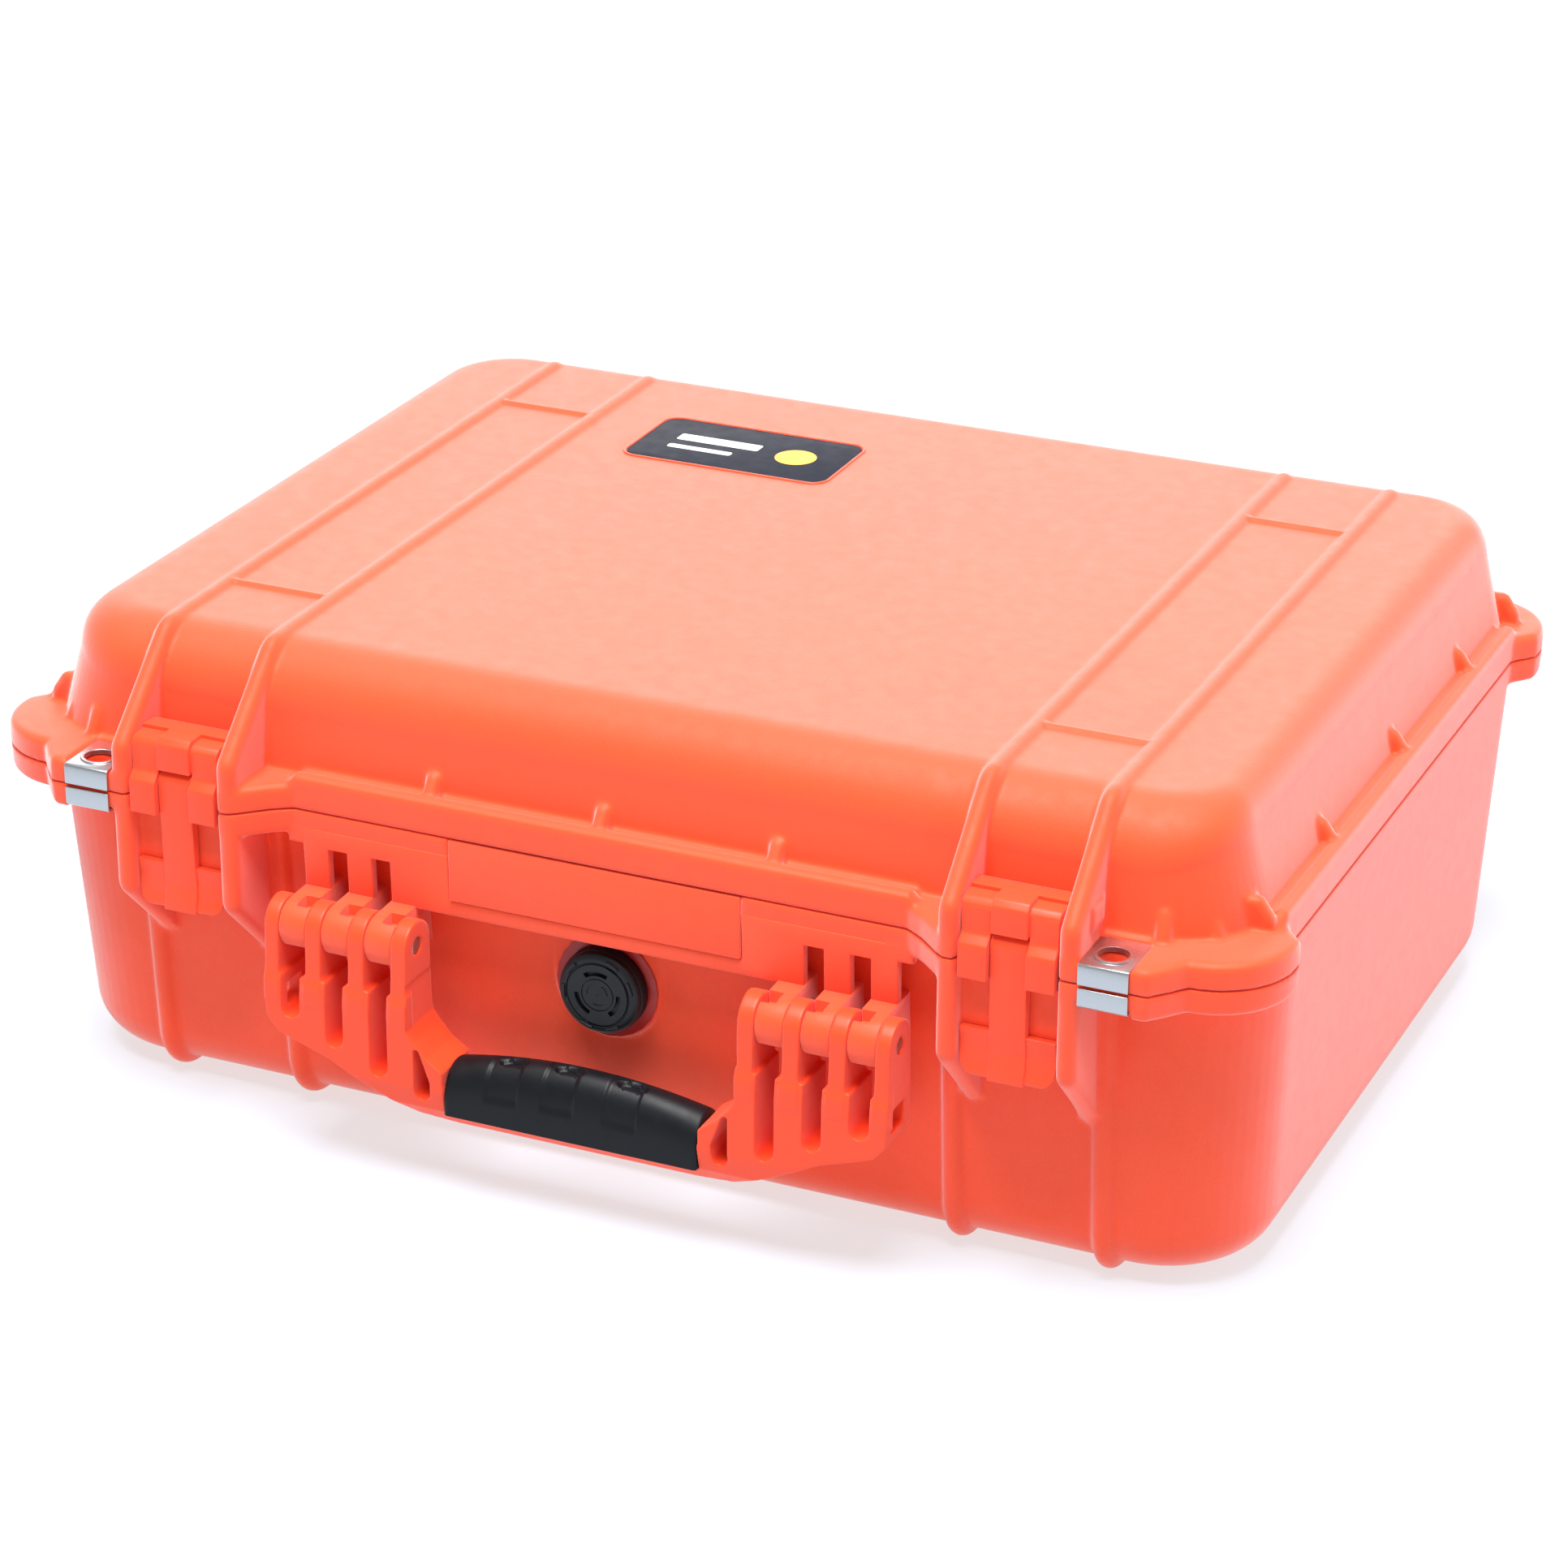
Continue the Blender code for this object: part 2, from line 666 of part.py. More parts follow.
def gusset(x, y, angle, foot_z, height):
    """A small web from the rim up the foot of the dome, facing out at an angle in degrees."""
    reach = 0.0050
    outline = [(-0.0050, foot_z - 0.0030), (reach, foot_z - 0.0030), (reach, foot_z)]
    outline += [(-0.0005, foot_z + height), (-0.0050, foot_z + height)]
    turn = math.radians(angle)
    rings = []
    for across in (-0.0024, 0.0024):
        ring = []
        for out, z in outline:
            px = x + out * math.cos(turn) - across * math.sin(turn)
            py = y + out * math.sin(turn) + across * math.cos(turn)
            ring.append((px, py, z))
        rings.append(ring)
    return loft("gusset", rings)


def add_gussets(shell):
    """Webs all round the foot of the dome."""
    for x in (-0.0672, 0.0, 0.0672):
        add(shell, gusset(x, -0.1680, -90, 0.1455, 0.0070))
        add(shell, gusset(x, 0.1745, 90, 0.1455, 0.0070))
    for side in (-1, 1):
        angle = 0 if side > 0 else 180
        for y in (-0.1450, -0.0765, 0.0087, 0.0925, 0.1530):
            add(shell, gusset(side * 0.2335, y, angle, 0.1468, 0.0070))
        add(shell, gusset(side * 0.2205, -0.1550, -45 if side > 0 else -135, 0.1415, 0.0095))
        add(shell, gusset(side * 0.2075, -0.1645, -75 if side > 0 else -105, 0.1415, 0.0095))


def add_cross_bars(shell):
    """Low bars that join the ribs of each pair on top of the lid."""
    for side in (-1, 1):
        for end in (-1, 1):
            ys = (end * CROSS_BAR_Y - 0.0013, end * CROSS_BAR_Y + 0.0013)
            xs = mirrored((POCKET[0] - 0.0015, POCKET[1] + 0.0015), side)
            add(shell, block("cross_bar", xs, ys, (LID_TOP_Z - 0.0020, LID_TOP_Z + 0.0015)))


def badge_outline(grow):
    """The badge's rounded rectangle in plan, grown all round."""
    half_x = BADGE_SIZE[0] / 2 + grow
    half_y = BADGE_SIZE[1] / 2 + grow
    flat = oblong(half_x, half_y, half_y, BADGE_CORNER_R + grow, 3)
    return [(x + BADGE_CENTRE[0], y + BADGE_CENTRE[1]) for x, y in flat]


def lid_shell():
    """The lid as one moulding."""
    shell = lid_dome("lid_shell", 0.0)
    add(shell, lid_flange())
    add_ledges(shell)
    add_gussets(shell)
    add_cross_bars(shell)
    for side in (-1, 1):
        pocket = mirrored(LATCH_POCKET, side)
        cut(shell, block("latch_pocket", pocket, (-0.2100, -0.1705), (0.1200, 0.1700)))
        hinge = mirrored((RIB_INNER_FACE + 0.0010, RIB_OUTER_FACE - 0.0010), side)
        cut(shell, block("hinge_pocket", hinge, (0.1765, 0.2100), (0.1200, 0.1700)))
        seat = mirrored(PLATE_SEAT, side)
        cut(shell, block("plate_front", seat, (-0.2100, -PLATE_FRONT), (0.1200, 0.1500)))
        cut(shell, block("plate_top", seat, (-0.2100, -0.1713), (PLATE_SEAT_Z, 0.1500)))
        for x in RIB_X:
            add(shell, lid_rib(side * x))
        hole = (side * PADLOCK_HOLE[0], PADLOCK_HOLE[1])
        cut(shell, prism("padlock_hole", circle(hole, PADLOCK_R + GAP, 16), "z", 0.1200, 0.1500))
        pins = mirrored((RIB_INNER_FACE - 0.001, RIB_OUTER_FACE + 0.001), side)
        cut(shell, rod("hook_pin_hole", HOOK_AXIS, pins, LATCH_PIN_R + PIN_CLEARANCE))
        cut(shell, rod("hinge_pin_hole", HINGE_AXIS, pins, HINGE_PIN_R + PIN_CLEARANCE))
    cut(shell, lid_cavity())
    cut(shell, seal_ring("seal_groove", GROOVE_WIDTH, 0.1300, GROOVE_TOP))
    add(shell, prism("badge_rim", badge_outline(0.0015), "z", 0.1840, LID_TOP_Z + 0.0006))
    cut(shell, prism("badge_recess", badge_outline(GAP), "z", LID_TOP_Z - 0.0008, 0.1900))
    return finish_with(shell, "lid_plastic", ORANGE, 0.48)


def lid_cavity():
    """Inside of the lid."""
    rings = [in_space(oblong(0.2325, 0.1605, 0.1665, 0.0330), "z", 0.1320)]
    rings.append(in_space(oblong(0.2302, 0.1600, 0.1664, 0.0320), "z", 0.1470))
    for i in range(5):
        angle = math.radians(90 * i / 4)
        inset = 0.0140 * (1 - math.cos(angle))
        z = 0.1672 + 0.0140 * math.sin(angle)
        ring = oblong(0.2236 - inset, 0.1560 - inset, 0.1660 - inset, 0.0300 - 0.6 * inset)
        rings.append(in_space(ring, "z", z))
    return loft("lid_cavity", rings)


def badge():
    """The plain badge plate in its recess."""
    plate = prism("badge", badge_outline(0.0), "z", LID_TOP_Z - 0.0005, LID_TOP_Z + 0.0003)
    return finish_with(plate, "badge_dark", (0.035, 0.038, 0.045), 0.4)


def nameplate():
    """The blank plate let into the front apron."""
    front = -FLANGE_Y + 0.0001
    plate = block(
        "nameplate",
        (-NAMEPLATE_HALF, NAMEPLATE_HALF),
        (front, front + NAMEPLATE_SKIN),
        (NAMEPLATE_LOW, PARTING_Z - 0.0006),
    )
    return finish_with(plate, "base_plastic", ORANGE, 0.48)


def turned(name, profile, steps=24):
    """A ring turned about the valve's axis from a closed profile of (radius, y)."""
    rings = []
    for i in range(steps):
        angle = 2 * math.pi * i / steps
        rings.append([(r * math.cos(angle), y, VALVE_Z + r * math.sin(angle)) for r, y in profile])
    return loft(name, rings, closed=True)


def disc(name, levels, steps=24):
    """A solid disc about the valve's axis from (radius, y) levels."""
    return loft(name, [in_space(circle((0.0, VALVE_Z), r, steps), "y", y) for r, y in levels])


def valve():
    """Body, cap, vent membrane, seal, label ring and the nut inside the wall."""
    body = turned(
        "valve_body",
        [
            (0.0040, -0.1520),
            (0.0040, -0.1700),
            (0.0090, -0.1700),
            (0.0090, -0.1722),
            (0.0155, -0.1722),
            (VALVE_R, -0.1712),
            (VALVE_R, -0.1679),
            (0.0131, -0.1679),
            (0.0131, -0.1689),
            (0.0109, -0.1689),
            (0.0109, -0.1679),
            (STEM_R, -0.1679),
            (STEM_R, -0.1520),
        ],
    )
    finish_with(body, "valve_black", BLACK, 0.42)
    cap = disc("valve_cap", [(0.0150, -0.1725), (0.0150, -0.1745), (0.0138, -0.1757), (0.0124, -0.1757)])
    valley = [(0.0066, -0.1800), (0.0092, -0.1800), (0.0092, -0.1747), (0.0066, -0.1747)]
    cut(cap, turned("cap_valley", valley))
    finish_with(cap, "valve_black", BLACK, 0.42)
    membrane = disc("valve_membrane", [(0.0086, -0.1703), (0.0086, -0.1709)])
    finish_with(membrane, "membrane_white", (0.8, 0.8, 0.78), 0.9)
    seal = turned("valve_seal", circle((0.0120, -0.1679), 0.0007, 6), 16)
    finish_with(seal, "seal_rubber", BLACK, 0.75)
    ring = [(0.0140, -0.1675), (0.0200, -0.1675), (0.0200, -0.1671), (0.0140, -0.1671)]
    label = turned("valve_label", ring)
    finish_with(label, "label_red", (0.45, 0.02, 0.01), 0.5)
    nut = loft(
        "valve_nut",
        [in_space(circle((0.0, VALVE_Z), 0.0138, 6), "y", y) for y in (-0.1580, -0.1530)],
    )
    cut(nut, disc("nut_bore", [(STEM_R + GAP, -0.1600), (STEM_R + GAP, -0.1500)]))
    finish_with(nut, "valve_black", BLACK, 0.5)


def padlock_plates():
    """Steel plates over and under the rim at each padlock hole."""
    front = PLATE_FRONT + GAP
    face = front + PLATE_SKIN
    top = PLATE_SEAT_Z + GAP + PLATE_SKIN
    low = LUG_LOW - GAP - PLATE_SKIN
    upper = [
        (-0.1717, top - PLATE_SKIN),
        (-0.1717, top),
        (-face + 0.0015, top),
        (-face + 0.0004, top - 0.0004),
        (-face, top - 0.0015),
        (-face, PARTING_Z + 0.0007),
        (-front, PARTING_Z + 0.0007),
        (-front, top - PLATE_SKIN),
    ]
    lower = [
        (-0.1735, low + PLATE_SKIN),
        (-0.1735, low),
        (-face + 0.0010, low),
        (-face, low + 0.0010),
        (-face, PARTING_Z - 0.0007),
        (-front, PARTING_Z - 0.0007),
        (-front, low + PLATE_SKIN),
    ]
    for side, word in ((-1, "left"), (1, "right")):
        xs = mirrored(PLATE_X, side)
        hole = (side * PADLOCK_HOLE[0], PADLOCK_HOLE[1])
        for level, outline, rim in (("upper", upper, (top - 0.0004, top + 0.0006)), ("lower", lower, None)):
            plate = prism(f"padlock_plate_{level}_{word}", outline, "x", *xs)
            if rim:
                add(plate, prism("collar", circle(hole, 0.0070, 24), "z", *rim))
            cut(plate, prism("hole", circle(hole, PADLOCK_R, 24), "z", 0.1100, 0.1500))
            finish_with(plate, "plate_steel", STEEL, 0.3, 1.0)


def latch_hook(word, side):
    """The upper half of a latch: it turns on the lid and carries the lever between its cheeks."""
    core = [
        (-0.1712, 0.1468),
        (-0.1712, 0.1546),
        (-0.1800, 0.1555),
        (-0.1880, 0.1552),
        (-0.1900, 0.1530),
        (-0.1900, 0.1446),
        (-0.1850, 0.1446),
        (-0.1790, 0.1468),
    ]
    bar = [(-0.1718, 0.1530), (-0.1718, 0.1555), (-0.1755, 0.1568), (-0.1818, 0.1568), (-0.1818, 0.1530)]
    stem = [
        (-0.1800, 0.1530),
        (-0.1800, 0.1568),
        (-0.1892, 0.1566),
        (-0.1914, 0.1542),
        (-0.1914, 0.1440),
        (-0.1860, 0.1440),
        (-0.1860, 0.1530),
    ]
    cheek = [
        (-0.1843, 0.1332),
        (-0.1869, 0.1332),
        (-0.1869, 0.1265),
        (-0.1935, 0.1265),
        (-0.1935, 0.1392),
        (-0.1900, 0.1428),
        (-0.1900, 0.1525),
        (-0.1843, 0.1525),
    ]
    half = LATCH_WIDTH / 2
    strip = STRIP_WIDTH / 2
    x = side * LATCH_X
    hook = prism(f"latch_hook_{word}", core, "x", x - half, x + half)
    add(hook, prism("bar", bar, "x", x - half + 0.0001, x + half - 0.0001))
    add(hook, prism("stem", stem, "x", x - strip, x + strip))
    for lo, hi in ((-half + 0.0002, -strip - GAP), (strip + GAP, half - 0.0002)):
        add(hook, prism("cheek", cheek, "x", x + lo, x + hi))
    cut(hook, rod("hook_bore", HOOK_AXIS, (x - half - 0.001, x + half + 0.001), LATCH_PIN_R + PIN_CLEARANCE))
    bore = (x - half + 0.0025, x + half - 0.0025)
    cut(hook, rod("lever_bore", LEVER_AXIS, bore, LATCH_PIN_R + PIN_CLEARANCE))
    return finish_with(hook, "latch_plastic", ORANGE, 0.4)


def latch_lever(word, side):
    """The lower half of a latch: a strip with a wide flared grip."""
    profile = arc(LEVER_AXIS, LEVER_END_R, 0, 180, 8)
    profile += [(-0.1909, 0.1180), (-0.1905, 0.1070), (-0.1896, 0.0985), (-0.1916, 0.0884)]
    profile += [(-0.1874, 0.0884), (-0.1869, 0.0930), (-0.1869, 0.1335)]
    flare = [(-0.1871, 0.1065), (-0.1899, 0.1065), (-0.1889, 0.1000), (-0.1894, 0.0940), (-0.1911, 0.0890)]
    flare += [(-0.1877, 0.0890), (-0.1871, 0.0940)]
    half = LATCH_WIDTH / 2 - 0.0003
    strip = STRIP_WIDTH / 2
    x = side * LATCH_X
    lever = prism(f"latch_lever_{word}", profile, "x", x - strip, x + strip)
    grip = prism("grip", flare, "x", x - half, x + half)
    shape = [(x - half, 0.1100), (x - half, 0.0886), (x + half, 0.0886), (x + half, 0.1100)]
    keep_common(grip, prism("grip_shape", rounded(shape, [0, 0.0070, 0.0070, 0]), "y", -0.2100, -0.1800))
    add(lever, grip)
    cut(lever, rod("lever_bore", LEVER_AXIS, (x - 0.0200, x + 0.0200), LATCH_PIN_R + PIN_CLEARANCE))
    return finish_with(lever, "latch_plastic", ORANGE, 0.4)


def latches():
    """Both latches with their pins."""
    for side, word in ((-1, "left"), (1, "right")):
        latch_hook(word, side)
        latch_lever(word, side)
        hook_pin = mirrored((RIB_INNER_FACE + 0.0004, RIB_OUTER_FACE - 0.0004), side)
        pin = rod(f"hook_pin_{word}", HOOK_AXIS, hook_pin, LATCH_PIN_R, 10)
        finish_with(pin, "pin_steel", STEEL, 0.3, 1.0)
        reach = LATCH_WIDTH / 2 - 0.0030
        lever_pin = (side * LATCH_X - reach, side * LATCH_X + reach)
        pin = rod(f"lever_pin_{word}", LEVER_AXIS, lever_pin, LATCH_PIN_R, 10)
        finish_with(pin, "pin_steel", STEEL, 0.3, 1.0)


def hinge_pins():
    """The two rear pins that join lid and base."""
    for side, word in ((-1, "left"), (1, "right")):
        xs = mirrored((RIB_INNER_FACE + 0.0004, RIB_OUTER_FACE - 0.0004), side)
        pin = rod(f"hinge_pin_{word}", HINGE_AXIS, xs, HINGE_PIN_R, 12)
        finish_with(pin, "pin_steel", STEEL, 0.3, 1.0)


def handle_front_outline():
    """The handle seen from the front, anticlockwise: a bar with a group of fingers at each end."""
    lower = [(0.0475, 0.0278), (0.0626, 0.0293), (0.0778, 0.0363), (0.0968, 0.0462)]
    lower += [(0.1172, 0.0531), (FINGER_SPAN[1] - 0.0006, 0.0586), (FINGER_SPAN[1], 0.0665)]
    fingers = [(FINGER_SPAN[1], 0.1040), (FINGER_SPAN[0], 0.1040), (0.0656, 0.0900), (0.0647, 0.0640)]
    inner = [(0.0620, 0.0600), (0.0570, 0.0545), (0.0505, 0.0500), (0.0505, CORE_TOP)]
    right = lower + fingers + inner
    left = [(-x, z) for x, z in right[::-1]]
    return right + left


def handle_side_outline():
    """The handle seen from its end: a crown about the pin and a deeper bar below."""
    outline = arc(HANDLE_AXIS, HANDLE_CROWN_R, 0, 180, 8)
    outline += [(-0.1990, 0.0800), (HANDLE_FRONT, 0.0700), (HANDLE_FRONT, 0.0420), (-0.1985, 0.0340)]
    outline += [(-0.1935, 0.0275), (-0.1850, 0.0275), (-0.1800, 0.0320), (HANDLE_BACK, 0.0400)]
    outline += [(HANDLE_BACK, 0.0600)]
    return outline


def eye_outline():
    """The teardrop slot beside the grip, on the right."""
    return rounded(list(EYE_SLOT), [0.0028, 0.0028, 0.0006, 0.0006, 0.0040])


def handle_frame():
    """The handle's moulding, slotted between its fingers."""
    frame = prism("handle_frame", handle_front_outline(), "y", -0.2100, -0.1700)
    keep_common(frame, prism("side_shape", handle_side_outline(), "x", -0.2000, 0.2000))
    for side in (-1, 1):
        for xs in KNUCKLES:
            lo, hi = mirrored((xs[0] - GAP, xs[1] + GAP), side)
            cut(frame, block("knuckle_gap", (lo, hi), (-0.2100, -0.1700), (WEB_TOP, 0.1200)))
        for lo, hi, bottom in HANDLE_SLOTS:
            a, b = mirrored((lo, hi), side)
            shape = rounded([(a, bottom), (b, bottom), (b, 0.0800), (a, 0.0800)], [0.0034, 0.0034, 0, 0])
            cut(frame, prism("slot", shape, "y", -0.2100, -0.1700))
        eye = [(side * x, z) for x, z in eye_outline()]
        cut(frame, prism("eye", eye, "y", -0.2100, -0.1700))
        window = mirrored((0.1150, 0.1260), side)
        cut(frame, block("window", window, (-0.1950, -0.1840), (0.0620, 0.0710)))
        hole = mirrored((0.0600, 0.1300), side)
        cut(frame, rod("pin_hole", HANDLE_AXIS, hole, HANDLE_PIN_R + PIN_CLEARANCE))
    seat = (-GRIP_HALF - GAP, GRIP_HALF + GAP)
    cut(frame, block("grip_front", seat, (-0.2100, CORE_FRONT), (GRIP_LOW, 0.0600)))
    cut(frame, block("grip_back", seat, (CORE_BACK, -0.1700), (GRIP_LOW, 0.0600)))
    return finish_with(frame, "handle_plastic", ORANGE, 0.42)


def handle_grip():
    """The rubber grip: a saddle over the bar, arched towards its middle."""
    rings = []
    sections = 12
    for i in range(sections + 1):
        x = GRIP_HALF * (2 * i / sections - 1)
        top = GRIP_END_TOP + GRIP_ARCH * (1 - (x / GRIP_HALF) ** 2)
        low = GRIP_LOW + GAP
        centre = (HANDLE_FRONT + HANDLE_BACK) / 2
        half = (HANDLE_BACK - HANDLE_FRONT) / 2
        ring = []
        for k in range(11):
            angle = math.pi * k / 10
            lift = math.sin(angle) ** 0.7
            ring.append((centre + half * math.cos(angle), low + (top - low) * lift))
        ring += [(CORE_FRONT - GAP, low), (CORE_FRONT - GAP, CORE_TOP + GAP)]
        ring += [(CORE_BACK + GAP, CORE_TOP + GAP), (CORE_BACK + GAP, low)]
        rings.append(in_space(ring, "x", x))
    grip = loft("handle_grip", rings)
    return finish_with(grip, "grip_rubber", BLACK, 0.55)


def handle_pins():
    """The pins through knuckles and fingers."""
    for side, word in ((-1, "left"), (1, "right")):
        xs = mirrored((FINGER_SPAN[0] + 0.0006, FINGER_SPAN[1] - 0.0006), side)
        pin = rod(f"handle_pin_{word}", HANDLE_AXIS, xs, HANDLE_PIN_R, 12)
        finish_with(pin, "pin_steel", STEEL, 0.3, 1.0)


def hang_on(empty_name, axis, names):
    """Parent moving pieces to an empty on the axis they turn about."""
    pivot = bpy.data.objects.new(empty_name, None)
    bpy.context.scene.collection.objects.link(pivot)
    pivot.location = (0.0, axis[0], axis[1])
    bpy.context.view_layer.update()
    for name in names:
        piece = bpy.data.objects[name]
        piece.parent = pivot
        piece.matrix_parent_inverse = pivot.matrix_world.inverted()
    return pivot


def hang_moving_pieces():
    """Lid, latches and handle, each on its own axis."""
    lid = ["lid_shell", "lid_gasket", "badge", "hook_pin_left", "hook_pin_right"]
    lid += ["padlock_plate_upper_left", "padlock_plate_upper_right"]
    hang_on("lid_axis", HINGE_AXIS, lid)
    hang_on("handle_pivot", HANDLE_AXIS, ["handle_frame", "handle_grip"])
    for word in ("left", "right"):
        hook = hang_on(f"hook_axis_{word}", HOOK_AXIS, [f"latch_hook_{word}", f"lever_pin_{word}"])
        lever = hang_on(f"lever_axis_{word}", LEVER_AXIS, [f"latch_lever_{word}"])
        lever.parent = hook
        lever.matrix_parent_inverse = hook.matrix_world.inverted()


def main():
    clear_scene()
    base_shell()
    lid_shell()
    lid_gasket()
    badge()
    nameplate()
    valve()
    padlock_plates()
    latches()
    hinge_pins()
    handle_frame()
    handle_grip()
    handle_pins()
    hang_moving_pieces()


main()
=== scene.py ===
"""The looks of the hard equipment case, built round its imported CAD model.

Metres, +Z up, in the CAD's frame: the latches and the handle face -Y and the hinges are at +Y.
Each moulding is made from overlapping closed forms, fused by a voxel remesh and then softened, so
that its edges and inner corners are round as on a real injection moulding.
"""

import math

import bmesh
import bpy
from mathutils import Matrix, Vector


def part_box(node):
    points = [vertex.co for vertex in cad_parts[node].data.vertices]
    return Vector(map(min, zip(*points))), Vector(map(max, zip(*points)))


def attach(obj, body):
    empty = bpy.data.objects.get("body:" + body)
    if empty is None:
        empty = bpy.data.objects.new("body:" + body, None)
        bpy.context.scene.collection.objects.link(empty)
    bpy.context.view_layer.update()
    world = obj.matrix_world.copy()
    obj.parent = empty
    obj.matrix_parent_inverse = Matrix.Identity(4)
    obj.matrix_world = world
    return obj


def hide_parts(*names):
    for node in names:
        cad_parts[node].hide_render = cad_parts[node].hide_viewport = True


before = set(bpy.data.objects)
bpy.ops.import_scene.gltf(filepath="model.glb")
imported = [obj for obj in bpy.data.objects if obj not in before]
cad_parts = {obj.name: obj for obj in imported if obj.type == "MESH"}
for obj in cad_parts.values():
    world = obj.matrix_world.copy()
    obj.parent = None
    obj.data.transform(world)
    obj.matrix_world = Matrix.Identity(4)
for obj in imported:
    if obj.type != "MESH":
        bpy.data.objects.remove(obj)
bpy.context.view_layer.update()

# Sizes of the case, the same as the CAD's.
GAP = 0.0003
PAST_FRONT = -0.2100
PAST_REAR = 0.2100
PARTING_Z = 0.1328
LID_BOTTOM = PARTING_Z + 0.00025
BASE_TOP = PARTING_Z - 0.00025
LID_TOP_Z = 0.1860
RIB_TOP_Z = 0.1880
FLANGE_X = 0.2434
FLANGE_Y = 0.1788
ZONE_Y = 0.1940
REAR_ZONE_Y = 0.1915
CORNER_CENTRE = (0.2215, 0.1520)
CORNER_R = 0.0295
FLANGE_LOW = 0.1227
FLANGE_TOP = 0.1424
LEDGE_TOP = 0.1475
WALL_X = 0.2375
WALL_FRONT = 0.1595
WALL_REAR = 0.1650
DRAFT_X = 0.0443
DRAFT_Y = 0.0725
WALL_CORNER_R = 0.0420
WALL_FOOT_R = 0.0180
FLOOR_SKIN_Z = 0.0035
RIB_X = (0.1400, 0.1838)
RIB_WIDTH = 0.0076
FOOT_X = (0.1323, 0.1884)
FOOT_PROUD = 0.0035
POCKET = (RIB_X[0] + RIB_WIDTH / 2, RIB_X[1] - RIB_WIDTH / 2)
WIDE_POCKET = (POCKET[0] - 0.0010, POCKET[1] + 0.0010)
RIB_INNER_FACE = RIB_X[0] - RIB_WIDTH / 2
RIB_OUTER_FACE = RIB_X[1] + RIB_WIDTH / 2
CROSS_BAR_Y = 0.1105
LATCH_PLATE_Y = 0.1865
LATCH_X = (POCKET[0] + POCKET[1]) / 2
HINGE_AXIS = (0.1923, 0.1340)
LATCH_WIDTH = 0.0354
STRIP_WIDTH = 0.0134
HANDLE_PIN_R = 0.0030
HOOK_AXIS = (-0.1755, 0.1515)
LEVER_AXIS = (-0.1868, 0.1392)
HANDLE_AXIS = (-0.1889, 0.0935)
KNUCKLES = ((0.0714, 0.0818), (0.0888, 0.0994), (0.1063, 0.1167))
PLATE_X = (0.1880, 0.2060)
PLATE_SEAT_Z = 0.1399
LUG_LOW = 0.1262
PLATE_FRONT = 0.1935
PADLOCK_HOLE = (0.1970, -0.1846)
PADLOCK_R = 0.0055
SEAL_LOOP = (0.2378, 0.1655, 0.1710, 0.0380)
VALVE_Z = 0.0812
BADGE_CENTRE = (-0.0674, 0.0997)
BADGE_SIZE = (0.0874, 0.0470)
BADGE_CORNER_R = 0.0060
NAMEPLATE_HALF = 0.0571
NAMEPLATE_LOW = 0.1084

# ---------------------------------------------------------------- shapes


def mesh_object(name, vertices, faces):
    """A linked object from points and faces, with its normals turned outwards."""
    mesh = bpy.data.meshes.new(name)
    mesh.from_pydata([tuple(v) for v in vertices], [], faces)
    shape = bmesh.new()
    shape.from_mesh(mesh)
    bmesh.ops.recalc_face_normals(shape, faces=shape.faces)
    shape.to_mesh(mesh)
    shape.free()
    obj = bpy.data.objects.new(name, mesh)
    bpy.context.scene.collection.objects.link(obj)
    return obj


def loft(name, rings, closed=False):
    """A solid through rings of equal count: capped at both ends, or closed into a loop."""
    count = len(rings[0])
    vertices = [point for ring in rings for point in ring]
    faces = []
    spans = len(rings) if closed else len(rings) - 1
    for r in range(spans):
        here = r * count
        there = (r + 1) % len(rings) * count
        for i in range(count):
            j = (i + 1) % count
            faces.append((here + i, here + j, there + j, there + i))
    if not closed:
        faces.append(tuple(range(count))[::-1])
        faces.append(tuple(range(len(vertices) - count, len(vertices))))
    return mesh_object(name, vertices, faces)


def in_space(outline, axis, offset):
    """A flat outline placed in space: the axis it faces takes the offset."""
    if axis == "x":
        return [(offset, u, v) for u, v in outline]
    if axis == "y":
        return [(u, offset, v) for u, v in outline]
    return [(u, v, offset) for u, v in outline]


def prism(name, outline, axis, low, high):
    """An outline extruded along an axis."""
    return loft(name, [in_space(outline, axis, low), in_space(outline, axis, high)])


def block(name, xs, ys, zs):
    """A box from its three ranges."""
    outline = [(xs[0], ys[0]), (xs[1], ys[0]), (xs[1], ys[1]), (xs[0], ys[1])]
    return prism(name, outline, "z", zs[0], zs[1])


def circle(centre, radius, steps, start=0.0):
    """Points round a circle."""
    turn = 2 * math.pi / steps
    return [
        (centre[0] + radius * math.cos(start + i * turn), centre[1] + radius * math.sin(start + i * turn))
        for i in range(steps)
    ]


def arc(centre, radius, start, end, steps):
    """Points along an arc, angles in degrees."""
    points = []
    for i in range(steps + 1):
        angle = math.radians(start + (end - start) * i / steps)
        points.append((centre[0] + radius * math.cos(angle), centre[1] + radius * math.sin(angle)))
    return points


